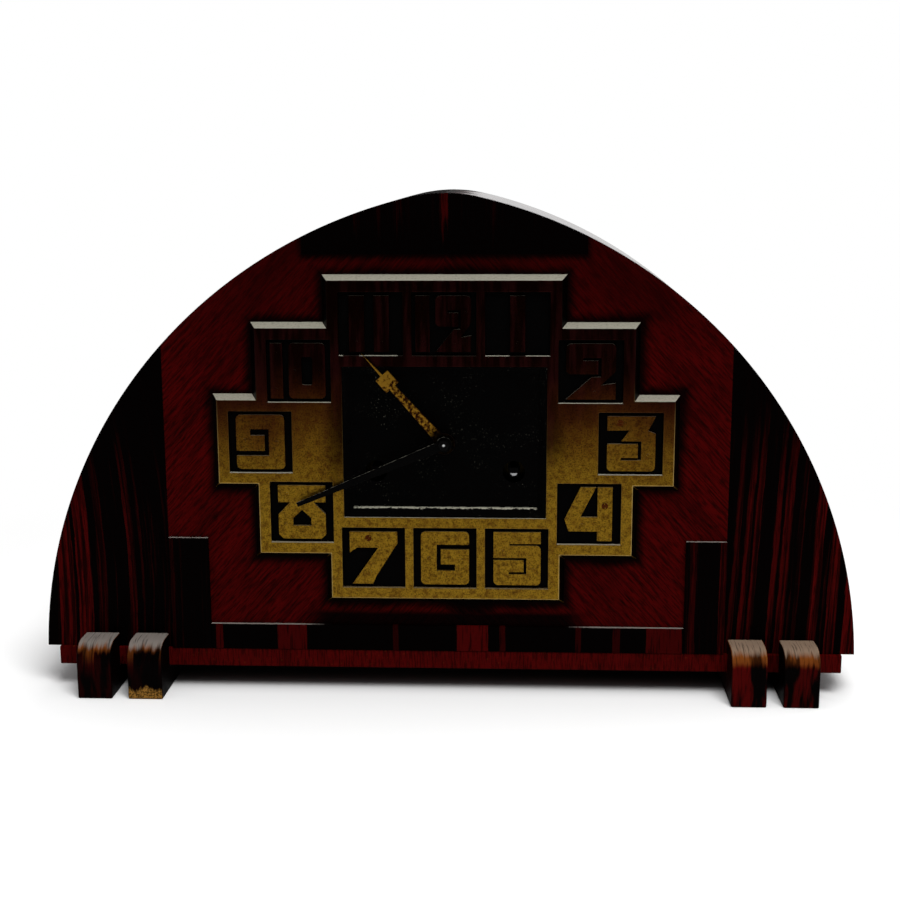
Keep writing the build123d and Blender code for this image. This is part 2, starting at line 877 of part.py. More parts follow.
with BuildPart() as centre_tray:
    tray_front = frame_front + tray_sink
    tray_outer_width = 2 * (tray_half_width - tray_fit)
    tray_outer_height = 2 * (tray_half_height - tray_fit)
    with BuildSketch(upright(0)):
        with Locations((0, dial_z)):
            Rectangle(tray_outer_width, tray_outer_height)
    extrude(amount=-tray_front)
    with BuildSketch(upright(tray_front)):
        with Locations((0, dial_z)):
            Rectangle(tray_outer_width - 2 * tray_lip, tray_outer_height - 2 * tray_lip)
    tray_depth = -tray_front - tray_floor
    extrude(amount=-tray_depth, taper=degrees(atan(tray_slope / tray_depth)), mode=Mode.SUBTRACT)
    with BuildSketch(upright(0)):
        with Locations(*winding_places):
            Circle(winding_hole)
        with Locations((0, dial_z)):
            Circle(pipe_hole)
        with Locations(*tray_pin_places):
            Circle(tray_pin_radius + pin_fit)
    extrude(amount=frame_thickness, mode=Mode.SUBTRACT)

# Motion work and hands
dial_centre = (0, dial_z)
centre_radius = arbor_radius
cannon_bore = centre_radius + bearing_fit
cannon_pipe = cannon_bore + 0.7
hour_bore = cannon_pipe + bearing_fit
hour_pipe = hour_bore + 0.8


def toothed(teeth, module, phase):
    """Gear outline about the origin with one tooth at the phase angle in degrees."""
    middle = teeth * module / 2
    tip = middle + tooth_addendum * module
    root = middle - tooth_dedendum * module
    pitch = 360 / teeth
    flank = [(root, -tooth_root_share), (tip, -tooth_tip_share), (tip, tooth_tip_share), (root, tooth_root_share)]
    return polygon([
        beside((0, 0), radius, phase + pitch * (tooth + share))
        for tooth in range(teeth)
        for radius, share in flank
    ])


def saw_toothed(teeth, tip, root, phase):
    """Ratchet outline about the origin with one radial tooth face at the phase angle."""
    pitch = 360 / teeth
    return polygon([
        beside((0, 0), radius, phase + pitch * tooth) for tooth in range(teeth) for radius in (root, tip)
    ])


def crossed_out(outline, inner_radius):
    """Wheel blank with its middle cut away to a hub and spokes."""
    length = inner_radius - hub_radius / 2
    with BuildSketch() as shape:
        add(outline)
        Circle(inner_radius, mode=Mode.SUBTRACT)
        Circle(hub_radius)
        with PolarLocations((inner_radius + hub_radius / 2) / 2, spoke_count):
            Rectangle(length + rim_width, spoke_width)
    return shape.sketch


def placed(outline, place):
    """Outline moved to a place on the front."""
    with BuildSketch() as shape:
        with Locations(place):
            add(outline)
    return shape.sketch


def gear_wheel(place, teeth, module, phase, front, thickness):
    """Crossed-out toothed wheel at a place."""
    inner_radius = teeth * module / 2 - tooth_dedendum * module - rim_width
    outline = crossed_out(toothed(teeth, module, phase), inner_radius)
    return slab(placed(outline, place), front, front + thickness)


def pinion(place, teeth, module, phase, front, length):
    """Solid toothed pinion at a place."""
    return slab(placed(toothed(teeth, module, phase), place), front, front + length)


def gear_distance(first_teeth, second_teeth, module):
    """Distance between the centres of two meshing gears."""
    return (first_teeth + second_teeth) * module / 2


def facing_gap(teeth, angle):
    """Phase that turns a gap between teeth towards an angle."""
    return angle + 180 / teeth


minute_wheel_place = beside(
    dial_centre, gear_distance(cannon_teeth, minute_wheel_teeth, cannon_module), -90
)
cannon_front = board_back - 2.8
minute_wheel_front = cannon_front + 0.4
hour_wheel_front = cannon_front - 4
motion_thickness = 1.5

with BuildPart() as cannon_pinion:
    towards = bearing(dial_centre, minute_wheel_place)
    phase = facing_gap(cannon_teeth, towards)
    add(pinion(dial_centre, cannon_teeth, cannon_module, phase, cannon_front, 2.3))
    add(rod(dial_centre, cannon_pipe, minute_hand_front, cannon_front))
    add(rod(dial_centre, cannon_bore, minute_hand_front, board_back), mode=Mode.SUBTRACT)

minute_pinion_front = hour_wheel_front - 0.6

with BuildPart() as minute_wheel:
    back_angle = bearing(minute_wheel_place, dial_centre)
    add(gear_wheel(
        minute_wheel_place, minute_wheel_teeth, cannon_module, back_angle, minute_wheel_front, motion_thickness
    ))
    phase = facing_gap(minute_pinion_teeth, back_angle)
    length = minute_wheel_front - minute_pinion_front
    add(pinion(minute_wheel_place, minute_pinion_teeth, hour_module, phase, minute_pinion_front, length))
    add(
        rod(minute_wheel_place, arbor_radius + bearing_fit, minute_pinion_front, board_back),
        mode=Mode.SUBTRACT,
    )

with BuildPart() as hour_wheel:
    towards = bearing(dial_centre, minute_wheel_place)
    add(gear_wheel(dial_centre, hour_wheel_teeth, hour_module, towards, hour_wheel_front, motion_thickness))
    add(rod(dial_centre, hour_pipe, hour_hand_front, hour_wheel_front))
    add(rod(dial_centre, hour_bore, hour_hand_front, board_back), mode=Mode.SUBTRACT)

with BuildSketch() as hour_outline:
    Circle(hour_hub_radius)
    add(polygon([
        (-hour_hand_root / 2, 0), (hour_hand_root / 2, 0), (hour_hand_neck / 2, lozenge_start),
        (-hour_hand_neck / 2, lozenge_start),
    ]))
    add(strip(-lozenge_side / 2, lozenge_side / 2, lozenge_start, lozenge_start + lozenge_side))
    add(polygon([
        (-hour_hand_point / 2, lozenge_start + lozenge_side / 2),
        (hour_hand_point / 2, lozenge_start + lozenge_side / 2),
        (0, hour_hand_length),
    ]))

with BuildSketch() as minute_outline:
    Circle(minute_hub_radius)
    add(polygon([
        (-minute_hand_root / 2, 0), (minute_hand_root / 2, 0), (minute_hand_waist / 2, minute_waist_at),
        (minute_hand_tip / 2, minute_hand_length), (-minute_hand_tip / 2, minute_hand_length),
        (-minute_hand_waist / 2, minute_waist_at),
    ]))


def hand(outline, angle, bore, back):
    """Hand turned clockwise from twelve to an angle, with a bore for its pipe."""
    with BuildPart() as pointer:
        with BuildSketch(upright(back)):
            with Locations(dial_centre):
                add(outline, rotation=-angle)
                Circle(bore, mode=Mode.SUBTRACT)
        extrude(amount=hand_thickness)
    return pointer


hour_hand = hand(hour_outline.sketch, hour_angle, hour_pipe + pin_fit, hour_hand_back)
minute_hand = hand(minute_outline.sketch, minute_angle, cannon_pipe + pin_fit, minute_hand_back)

with BuildPart() as hand_nut:
    with BuildSketch(upright(minute_hand_front)):
        with Locations(dial_centre):
            RegularPolygon(nut_radius, nut_facets)
    extrude(amount=nut_thickness)
    add(rod(dial_centre, cannon_bore, nut_front + nut_thickness / 2, minute_hand_front), mode=Mode.SUBTRACT)

# Train places, seen from the front
strike_place, going_place = winding_places
barrel_reach = gear_distance(wheel_teeth, pinion_teeth, barrel_module)
second_reach = gear_distance(wheel_teeth, pinion_teeth, second_module)
centre_reach = gear_distance(wheel_teeth, pinion_teeth, centre_module)
upper_reach = gear_distance(wheel_teeth, pinion_teeth, upper_module)
second_place = meeting(dial_centre, second_reach, going_place, barrel_reach, 1)
third_place = beside(dial_centre, centre_reach, 90)
escape_place = beside(third_place, upper_reach, 90)
anchor_place = beside(escape_place, anchor_rise, 90)
strike_second_place = meeting(dial_centre, second_reach + strike_clear, strike_place, barrel_reach, -1)
pin_wheel_place = beside(strike_second_place, second_reach, pin_wheel_angle)
fly_place = beside(pin_wheel_place, upper_reach, fly_angle)
hammer_place = (hammer_x, dial_z + hammer_rise)
pillar_places = [
    (side * pillar_x, dial_z + height) for side in (-1, 1) for height in (pillar_low, pillar_high)
]
pivot_places = [
    second_place, third_place, escape_place, strike_second_place, pin_wheel_place, fly_place,
]
through_places = [anchor_place, hammer_place]
second_wheel_front = front_plate_back + 2
centre_wheel_front = front_plate_back + 34.5
upper_wheel_front = front_plate_back + upper_depth
great_wheel_front = front_plate_back + barrel_front + barrel_length
click_places = {
    "strike": beside(strike_place, click_rise, 90),
    "going": beside(going_place, click_rise, 90),
}
ratchet_front = back_plate_back + ratchet_gap
ratchet_back = ratchet_front + ratchet_thickness


def movement_plate(front, back_holes):
    """Brass plate with bearing holes, seats for the pillars and holes for the winding arbors."""
    with BuildPart() as plate:
        with BuildSketch(upright(front + plate_thickness)):
            add(strip(-plate_half_width, plate_half_width, dial_z + plate_low, dial_z + plate_high))
            with Locations(*pivot_places):
                Circle(pivot_radius + bearing_fit, mode=Mode.SUBTRACT)
            with Locations(*through_places):
                Circle((arbor_radius if back_holes else pivot_radius) + bearing_fit, mode=Mode.SUBTRACT)
            with Locations(dial_centre):
                Circle((pivot_radius if back_holes else centre_radius) + bearing_fit, mode=Mode.SUBTRACT)
            with Locations(*winding_places):
                Circle(winding_radius + bearing_fit, mode=Mode.SUBTRACT)
            with Locations(*pillar_places):
                Circle(pillar_tenon + pin_fit, mode=Mode.SUBTRACT)
        extrude(amount=plate_thickness)
    return plate.part


with BuildPart() as front_plate:
    add(movement_plate(board_back, False))
    add(rod(minute_wheel_place, arbor_radius, minute_pinion_front, board_back))
    with BuildSketch(upright(front_plate_back)):
        with Locations(*movement_screw_places):
            Circle(screw_radius + screw_fit)
    extrude(amount=plate_thickness, mode=Mode.SUBTRACT)

pendulum_front = back_plate_back + pendulum_behind
pendulum_back = pendulum_front + pendulum_thickness
cock_front = pendulum_back + cock_stud_clear
cock_top = dial_z + plate_high

with BuildPart() as back_plate:
    add(movement_plate(back_plate_front, True))
    for place in click_places.values():
        add(rod(place, stud_radius, back_plate_back, ratchet_back))
    cock_low = anchor_place[1] - cock_drop
    arm = strip(-cock_width / 2, cock_width / 2, cock_low, cock_top)
    cock_block = strip(-cock_width / 2, cock_width / 2, cock_top - cock_foot, cock_top)
    add(slab(arm, cock_front, cock_front + cock_thickness))
    add(slab(cock_block, back_plate_back, cock_front))
    add(rod(anchor_place, stud_radius, pendulum_front - cock_stud_clear, cock_front))

with BuildPart() as plate_pillars:
    for place in pillar_places:
        add(rod(place, pillar_radius, front_plate_back, back_plate_front))
        add(rod(place, pillar_tenon, board_back, back_plate_back))


def arbor(place):
    """Steel arbor between the plates with a thin pivot at each end."""
    with BuildPart() as shaft:
        add(rod(place, arbor_radius, front_plate_back + end_shake, back_plate_front - end_shake))
        add(rod(place, pivot_radius, board_back, back_plate_back))
    return shaft.part


# Going train
def barrel(place, mesh_place):
    """Spring drum with its great wheel, turning on the winding arbor."""
    start = front_plate_back + barrel_front
    with BuildPart() as drum:
        add(rod(place, barrel_radius, start, great_wheel_front))
        phase = bearing(place, mesh_place)
        add(pinion(place, wheel_teeth, barrel_module, phase, great_wheel_front, great_wheel_thickness))
        add(
            rod(place, barrel_radius - barrel_wall, start + barrel_wall, great_wheel_front - barrel_wall),
            mode=Mode.SUBTRACT,
        )
        end = great_wheel_front + great_wheel_thickness
        add(rod(place, winding_radius + bearing_fit, start, end), mode=Mode.SUBTRACT)
    return drum


def mainspring(place):
    """Flat spring wound inside its drum from half turns of growing radius."""
    start = front_plate_back + barrel_front + barrel_wall + spring_gap
    end = great_wheel_front - barrel_wall - spring_gap
    outer_radius = barrel_radius - barrel_wall - spring_gap - spring_strip / 2
    inner_radius = outer_radius - spring_step * (spring_half_turns - 1)
    with BuildSketch() as coil:
        with BuildLine():
            for count in range(spring_half_turns):
                middle = (spring_step * (count % 2), 0)
                CenterArc(middle, inner_radius + spring_step * count, 180 * (count % 2), 180)
        trace(line_width=spring_strip)
    with BuildPart() as spring:
        add(slab(placed(coil.sketch, place), start, end))
    return spring


def winding_arbor(place):
    """Winding arbor with its square, the core inside the drum and the ratchet behind the back plate."""
    square_end = board_back - 1
    core_front = front_plate_back + barrel_front + barrel_wall + core_clear
    core_back = great_wheel_front - barrel_wall - core_clear
    with BuildPart() as shaft:
        with BuildSketch(upright(square_end)):
            with Locations(place):
                Rectangle(winding_square, winding_square)
        extrude(amount=square_end - winding_tip)
        add(rod(place, winding_radius, square_end, ratchet_back))
        add(rod(place, core_radius, core_front, core_back))
        half_pitch = 180 / ratchet_teeth
        ratchet = saw_toothed(ratchet_teeth, ratchet_tip, ratchet_root, click_angle + half_pitch)
        add(slab(placed(ratchet, place), ratchet_front, ratchet_back))
    return shaft


def click(place):
    """Ratchet click on its stud, its beak just clear of the ratchet."""
    stud = (0, click_rise)
    beak = beside((0, 0), ratchet_tip + click_clear, click_angle)
    back = beside(beak, click_beak, click_angle)
    with BuildSketch() as lever:
        with Locations(stud):
            Circle(click_hub)
        add(polygon([(-click_heel, click_rise), beak, back, (click_hub, click_rise)]))
        with Locations(stud):
            Circle(stud_radius + bearing_fit, mode=Mode.SUBTRACT)
    with BuildPart() as pawl:
        add(slab(placed(lever.sketch, place), ratchet_front, ratchet_back))
    return pawl


going_barrel = barrel(going_place, second_place)
going_mainspring = mainspring(going_place)
going_arbor = winding_arbor(going_place)
going_click = click(going_place)
strike_barrel = barrel(strike_place, strike_second_place)
strike_mainspring = mainspring(strike_place)
strike_arbor = winding_arbor(strike_place)
strike_click = click(strike_place)


def train_wheel(place, wheel, pinion_side):
    """Arbor with a wheel and a pinion, each given as module, phase angle and front depth."""
    wheel_module, wheel_phase, wheel_front = wheel
    pinion_module, pinion_phase, pinion_front = pinion_side
    with BuildPart() as mobile:
        add(arbor(place))
        add(gear_wheel(place, wheel_teeth, wheel_module, wheel_phase, wheel_front, wheel_thickness))
        add(rod(place, hub_radius, wheel_front, wheel_front + wheel_thickness))
        phase = facing_gap(pinion_teeth, pinion_phase)
        add(pinion(place, pinion_teeth, pinion_module, phase, pinion_front, pinion_length))
    return mobile.part


pinion_lead = (pinion_length - wheel_thickness) / 2
great_pinion_front = great_wheel_front + (great_wheel_thickness - pinion_length) / 2

with BuildPart() as going_second_wheel:
    add(train_wheel(
        second_place,
        (second_module, bearing(second_place, dial_centre), second_wheel_front),
        (barrel_module, bearing(second_place, going_place), great_pinion_front),
    ))

with BuildPart() as centre_wheel:
    add(train_wheel(
        dial_centre,
        (centre_module, bearing(dial_centre, third_place), centre_wheel_front),
        (second_module, bearing(dial_centre, second_place), second_wheel_front - pinion_lead),
    ))
    arbor_tip = nut_front + nut_thickness / 2 + end_shake
    add(rod(dial_centre, centre_radius, arbor_tip, front_plate_back + end_shake))

with BuildPart() as third_wheel:
    add(train_wheel(
        third_place,
        (upper_module, bearing(third_place, escape_place), upper_wheel_front),
        (centre_module, bearing(third_place, dial_centre), centre_wheel_front - pinion_lead),
    ))

escape_front = front_plate_back + escape_depth

with BuildPart() as escape_wheel:
    add(arbor(escape_place))
    phase = facing_gap(pinion_teeth, bearing(escape_place, third_place))
    add(pinion(escape_place, pinion_teeth, upper_module, phase, upper_wheel_front - pinion_lead, pinion_length))
    teeth_outline = saw_toothed(escape_teeth, escape_tip, escape_root, 90 + 180 / escape_teeth)
    outline = crossed_out(teeth_outline, escape_root - rim_width)
    add(slab(placed(outline, escape_place), escape_front, escape_front + wheel_thickness))
    add(rod(escape_place, hub_radius, escape_front, escape_front + wheel_thickness))


def anchor_limb(side):
    """Arm of the anchor from its hub to a pallet just clear of the escape wheel."""
    tip = beside((0, -anchor_rise), escape_tip + anchor_clear, 90 - side * anchor_span)
    outer = beside(tip, anchor_arm, 90 - side * anchor_span)
    return polygon([(0, 0), tip, outer, (0, anchor_hub)])


crutch_front = back_plate_back + crutch_behind
crutch_back = crutch_front + crutch_thickness
prong_back = pendulum_back + prong_gap

with BuildPart() as anchor:
    add(rod(anchor_place, pivot_radius, board_back, front_plate_back + end_shake))
    add(rod(anchor_place, arbor_radius, front_plate_back + end_shake, crutch_back))
    with BuildSketch() as anchor_outline:
        Circle(anchor_hub)
        add(anchor_limb(-1))
        add(anchor_limb(1))
    add(slab(placed(anchor_outline.sketch, anchor_place), escape_front, escape_front + wheel_thickness))
    add(rod(anchor_place, anchor_hub, crutch_front, crutch_back))
    crutch_foot = anchor_place[1] - crutch_length
    crutch_bar = strip(-crutch_width / 2, crutch_width / 2, crutch_foot, anchor_place[1])
    add(slab(crutch_bar, crutch_front, crutch_back))
    prong_start = pendulum_rod / 2 + prong_gap
    prong_end = prong_start + prong_width
    prong_top = crutch_foot + prong_height
    add(slab(strip(-prong_end, prong_end, crutch_foot, prong_top), crutch_front, crutch_back))
    for side in (-1, 1):
        edges = sorted((side * prong_start, side * prong_end))
        add(slab(strip(*edges, crutch_foot, prong_top), crutch_back, prong_back))

bob_place = beside(anchor_place, pendulum_length, -90)
bob_middle = (pendulum_front + pendulum_back) / 2
nut_top = bob_place[1] - bob_radius - rating_nut_gap


def bob():
    """Round pendulum bob with softened edges."""
    with BuildPart() as weight:
        add(rod(bob_place, bob_radius, bob_middle - bob_thickness / 2, bob_middle + bob_thickness / 2))
        fillet(weight.edges().filter_by(GeomType.CIRCLE), radius=bob_thickness / 3)
    return weight.part


with BuildPart() as pendulum:
    add(rod(anchor_place, eye_radius, pendulum_front, pendulum_back))
    rod_strip = strip(-pendulum_rod / 2, pendulum_rod / 2, nut_top, anchor_place[1])
    add(slab(rod_strip, pendulum_front, pendulum_back))
    add(bob())
    with BuildSketch(Plane.XY.offset(nut_top - rating_nut_height)):
        with Locations((0, front_y + bob_middle)):
            Circle(rating_nut_radius)
    extrude(amount=rating_nut_height)
    add(rod(anchor_place, stud_radius + bearing_fit, pendulum_front, pendulum_back), mode=Mode.SUBTRACT)

# Strike train
with BuildPart() as strike_second_wheel:
    add(train_wheel(
        strike_second_place,
        (second_module, bearing(strike_second_place, pin_wheel_place), second_wheel_front),
        (barrel_module, bearing(strike_second_place, strike_place), great_pinion_front),
    ))

pin_front = upper_wheel_front + wheel_thickness
pin_disc = lift_pin_circle + 2 * lift_pin_radius

with BuildPart() as pin_wheel:
    add(train_wheel(
        pin_wheel_place,
        (upper_module, bearing(pin_wheel_place, fly_place), upper_wheel_front),
        (second_module, bearing(pin_wheel_place, strike_second_place), second_wheel_front - pinion_lead),
    ))
    add(rod(pin_wheel_place, pin_disc, upper_wheel_front, pin_front))
    for count in range(lift_pin_count):
        spot = beside(pin_wheel_place, lift_pin_circle, count * 360 / lift_pin_count)
        add(rod(spot, lift_pin_radius, pin_front, pin_front + lift_pin_length))

fly_front = front_plate_back + fly_depth

with BuildPart() as fly:
    add(arbor(fly_place))
    phase = facing_gap(pinion_teeth, bearing(fly_place, pin_wheel_place))
    add(pinion(fly_place, pinion_teeth, upper_module, phase, upper_wheel_front - pinion_lead, pinion_length))
    vane = strip(
        fly_place[0] - fly_half_width, fly_place[0] + fly_half_width, fly_place[1] - fly_thickness / 2,
        fly_place[1] + fly_thickness / 2,
    )
    add(slab(vane, fly_front, fly_front + fly_length))

tail_front = pin_front + (lift_pin_length - hammer_tail) / 2
tail_angle = bearing(hammer_place, pin_wheel_place)
hammer_span = hypot(pin_wheel_place[0] - hammer_place[0], pin_wheel_place[1] - hammer_place[1])
tail_reach = hammer_span - lift_pin_circle - lift_pin_radius - tail_clear
hammer_front = back_plate_back + hammer_behind
hammer_back = hammer_front + hammer_arm
head_left = gong_x + gong_rod_radius + hammer_rest_gap
head_z = hammer_place[1] + hammer_head_rise
head_end = (head_left + hammer_head_length / 2, head_z)
hammer_middle = (hammer_front + hammer_back) / 2


def lever_arm(start, end, width):
    """Straight arm between two places with round ends."""
    length = hypot(end[0] - start[0], end[1] - start[1])
    with BuildSketch() as shape:
        with Locations(Location((start[0], start[1], 0), (0, 0, bearing(start, end)))):
            with Locations((length / 2, 0)):
                SlotCenterToCenter(length, width)
    return shape.sketch


with BuildPart() as hammer:
    add(rod(hammer_place, pivot_radius, board_back, front_plate_back + end_shake))
    add(rod(hammer_place, arbor_radius, front_plate_back + end_shake, hammer_back))
    tail_end = beside(hammer_place, tail_reach - tail_width / 2, tail_angle)
    add(slab(lever_arm(hammer_place, tail_end, tail_width), tail_front, tail_front + hammer_tail))
    add(slab(lever_arm(hammer_place, head_end, hammer_arm), hammer_front, hammer_back))
    add(rod(hammer_place, hammer_arm, hammer_front, hammer_back))
    head_plane = Plane(
        origin=(head_left, front_y + hammer_middle, head_z), x_dir=(0, 1, 0), z_dir=(1, 0, 0)
    )
    with BuildSketch(head_plane):
        Circle(hammer_head_radius)
    extrude(amount=hammer_head_length)

gong_depth = hammer_middle
gong_left = gong_middle - gong_block_width / 2
gong_right = gong_middle + gong_block_width / 2
gong_rod_places = [(gong_x - count * gong_pitch, front_y + gong_depth) for count in range(2)]

with BuildPart() as gong_block:
    head = strip(gong_left, gong_right, gong_bottom, gong_bottom + gong_block_height)
    add(slab(head, board_back, gong_depth + gong_overhang))
    flange_half = gong_flange_width / 2
    flange = strip(gong_middle - flange_half, gong_middle + flange_half, flange_bottom, gong_bottom)
    add(slab(flange, board_back, flange_back))
    with BuildSketch(upright(flange_back)):
        with Locations(*gong_screw_places):
            Circle(screw_radius + screw_fit)
    extrude(amount=gong_flange_thickness, mode=Mode.SUBTRACT)
    with BuildSketch(Plane.XY.offset(gong_bottom)):
        with Locations(*gong_rod_places):
            Circle(gong_rod_radius + pin_fit)
    extrude(amount=gong_seat, mode=Mode.SUBTRACT)

with BuildPart() as gong_rods:
    for spot in gong_rod_places:
        with BuildSketch(Plane.XY.offset(gong_bottom - gong_rod_length)):
            with Locations(spot):
                Circle(gong_rod_radius)
        extrude(amount=gong_rod_length + gong_seat)

pieces = {
    "front_board": front_board,
    "crown_veneer": crown_veneer,
    "side_veneer_left": side_veneer_left,
    "side_veneer_right": side_veneer_right,
    "field_veneer_left": field_veneer_left,
    "field_veneer_right": field_veneer_right,
    "arch_left": arch_left,
    "arch_right": arch_right,
    "case_floor": case_floor,
    "plinth_board": plinth_board,
    "upper_rail": upper_rail,
    "post_left": post_left,
    "post_right": post_right,
    "foot_outer_left": foot_outer_left,
    "foot_inner_left": foot_inner_left,
    "foot_inner_right": foot_inner_right,
    "foot_outer_right": foot_outer_right,
    "back_panel": back_panel,
    "wood_screws": wood_screws,
    "back_door": back_door,
    "door_knob": door_knob,
    "hinge_case_leaves": hinge_case_leaves,
    "hinge_door_leaves": hinge_door_leaves,
    "hinge_pins": hinge_pins,
    "hinge_door_screws": hinge_door_screws,
    "turn_button": turn_button,
    "dial_frame": dial_frame,
    "dial_ground": dial_ground,
    "centre_tray": centre_tray,
    "dial_pins": dial_pins,
    "numerals": numerals,
    "hour_hand": hour_hand,
    "minute_hand": minute_hand,
    "hand_nut": hand_nut,
    "front_plate": front_plate,
    "back_plate": back_plate,
    "plate_pillars": plate_pillars,
    "going_barrel": going_barrel,
    "going_mainspring": going_mainspring,
    "going_arbor": going_arbor,
    "going_click": going_click,
    "going_second_wheel": going_second_wheel,
    "centre_wheel": centre_wheel,
    "third_wheel": third_wheel,
    "escape_wheel": escape_wheel,
    "anchor": anchor,
    "pendulum": pendulum,
    "cannon_pinion": cannon_pinion,
    "minute_wheel": minute_wheel,
    "hour_wheel": hour_wheel,
    "strike_barrel": strike_barrel,
    "strike_mainspring": strike_mainspring,
    "strike_arbor": strike_arbor,
    "strike_click": strike_click,
    "strike_second_wheel": strike_second_wheel,
    "pin_wheel": pin_wheel,
    "fly": fly,
    "hammer": hammer,
    "gong_block": gong_block,
    "gong_rods": gong_rods,
}

os.makedirs("parts", exist_ok=True)
for name, piece in pieces.items():
    piece.part.label = name
    export_step(piece.part, f"parts/{name}.step")
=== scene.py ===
import json
from math import cos, pi, radians, sin

import bmesh
import bpy
from bpy.props import FloatProperty, FloatVectorProperty, PointerProperty
from mathutils import Matrix, Vector


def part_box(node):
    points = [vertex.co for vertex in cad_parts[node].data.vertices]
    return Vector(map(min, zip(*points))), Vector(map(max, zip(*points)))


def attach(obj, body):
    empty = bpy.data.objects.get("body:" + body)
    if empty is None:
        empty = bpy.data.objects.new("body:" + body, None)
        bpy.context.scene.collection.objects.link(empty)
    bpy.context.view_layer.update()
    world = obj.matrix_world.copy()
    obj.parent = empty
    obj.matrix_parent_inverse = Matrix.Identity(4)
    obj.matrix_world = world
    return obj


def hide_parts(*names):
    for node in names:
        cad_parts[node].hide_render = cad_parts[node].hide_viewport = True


bl_info = {
    "name": "Arched Shelf Clock",
    "version": (1, 0, 0),
    "blender": (4, 5, 0),
    "location": "View3D > Sidebar > Clock",
    "description": "Finishes an arched shelf clock with veneer, brass and black dial work",
    "category": "Object",
}

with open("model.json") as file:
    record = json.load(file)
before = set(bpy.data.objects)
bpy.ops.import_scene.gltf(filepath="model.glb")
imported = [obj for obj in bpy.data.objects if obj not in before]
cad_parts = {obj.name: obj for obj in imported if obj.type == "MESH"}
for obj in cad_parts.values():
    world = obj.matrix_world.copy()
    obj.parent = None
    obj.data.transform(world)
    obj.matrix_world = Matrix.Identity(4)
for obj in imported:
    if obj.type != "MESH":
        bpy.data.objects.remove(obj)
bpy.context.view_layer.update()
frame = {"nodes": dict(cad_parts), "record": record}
dial_low, dial_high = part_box("dial_frame")
tray_low, tray_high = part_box("centre_tray")
crown_low, crown_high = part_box("crown_veneer")
front_plane = crown_low.y
dial_middle = (dial_low + dial_high) / 2
dial_half = (dial_high - dial_low) / 2
nut_middle = sum(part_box("hand_nut"), Vector()) / 2

# Half width and half height of the three blocks that make the dial's stepped outline
dial_blocks = ((0.0657, dial_half.z), (0.1048, 0.0652), (dial_half.x, 0.0262))

# Specular level of old varnish and of matt paint
wood_gloss = 0.006
paint_gloss = 0.012

# Start, end and strength of the red lines across each sheet of striped veneer
left_stripes = (
    (-0.2172, -0.209, 0.85), (-0.2067, -0.1983, 0.9), (-0.1938, -0.1895, 0.3), (-0.1772, -0.1732, 0.6),
    (-0.1702, -0.169, 0.25), (-0.1555, -0.1545, 0.2),
)
right_stripes = (
    (0.1562, 0.159, 0.35), (0.1617, 0.165, 0.65), (0.1664, 0.1698, 0.6), (0.1778, 0.181, 0.6),
    (0.1828, 0.1872, 0.6), (0.1915, 0.194, 0.25), (0.2, 0.2055, 0.95), (0.2098, 0.2152, 0.8),
    (0.219, 0.2262, 1.0),
)
crown_stripes = (
    (-0.0475, -0.044, 0.09), (-0.036, -0.033, 0.07), (-0.0265, -0.0215, 0.1), (-0.003, 0.0015, 0.5),
    (0.024, 0.028, 0.06),
)
post_stripes = {
    "post_left": ((-0.1535, -0.1515, 0.16), (-0.148, -0.147, 0.1)),
    "post_right": ((0.1335, 0.1372, 0.4), (0.1502, 0.1545, 0.65)),
}

# Start, end and strength of the red blocks of the rail, the stretches of the dial's top-row sill that keep
# their painted highlight, the heights of that row's sill, and the runs of bare wood down the left feet
rail_blocks = (
    (-0.129, -0.125, 0.5), (-0.0945, -0.0785, 0.62), (-0.0295, -0.0265, 0.2), (0.0055, 0.0235, 0.8),
    (0.0295, 0.0325, 0.3), (0.0715, 0.0745, 0.25), (0.0925, 0.096, 0.25), (0.1105, 0.1295, 0.58),
)
sill_highlight_stretches = (
    (-0.0612, -0.0545, 1.0), (-0.0455, -0.0253, 1.0), (0.0213, 0.0348, 1.0), (0.0433, 0.0573, 1.0),
)
top_sill = ((0.1872, 0.1915, 0.9),)
outer_runs = ((-0.2, -0.193, 0.6),)
inner_runs = ((-0.1755, -0.172, 0.5), (-0.158, -0.156, 0.2))

# Screws on the numerals, across and up; the other pins are rivets
screw_places = ((-0.0421, 0.0887), (0.0869, 0.1077), (0.0943, 0.1535))
same_place = 0.001
screw_length, screw_slot = 0.0008, 0.0005
rivet_length, rivet_slot = 0.0042, 0.00006

# How close corners are one, and the angles at which faces are one, edges soften and shading breaks
weld_reach = 2e-6
flat_angle = radians(0.6)
soft_angle = radians(35)
sharp_angle = radians(50)


def size_of(label, words, default):
    """A length that a user may change."""
    return FloatProperty(name=label, description=words, default=default, min=0.0, unit="LENGTH", precision=5)


def colour_of(label, words, default):
    """A colour that a user may change."""
    return FloatVectorProperty(
        name=label, description=words, default=default, size=3, min=0.0, max=1.0, subtype="COLOR"
    )


class ClockSizes(bpy.types.PropertyGroup):
    """Sizes of the finish work."""

    wood_ease: size_of("Wood ease", "Width of the softened wood edges", 0.0006)
    brass_ease: size_of("Brass ease", "Width of the softened edges of the dial frame", 0.0005)
    numeral_ease: size_of("Numeral ease", "Width of the softened edges of the numerals", 0.0008)
    hand_ease: size_of("Hand ease", "Width of the softened edges of the hands", 0.0002)
    rivet_radius: size_of("Rivet radius", "Radius of the rivets that hold the numerals", 0.0008)
    screw_radius: size_of("Screw radius", "Radius of the screw heads on the numerals", 0.0018)


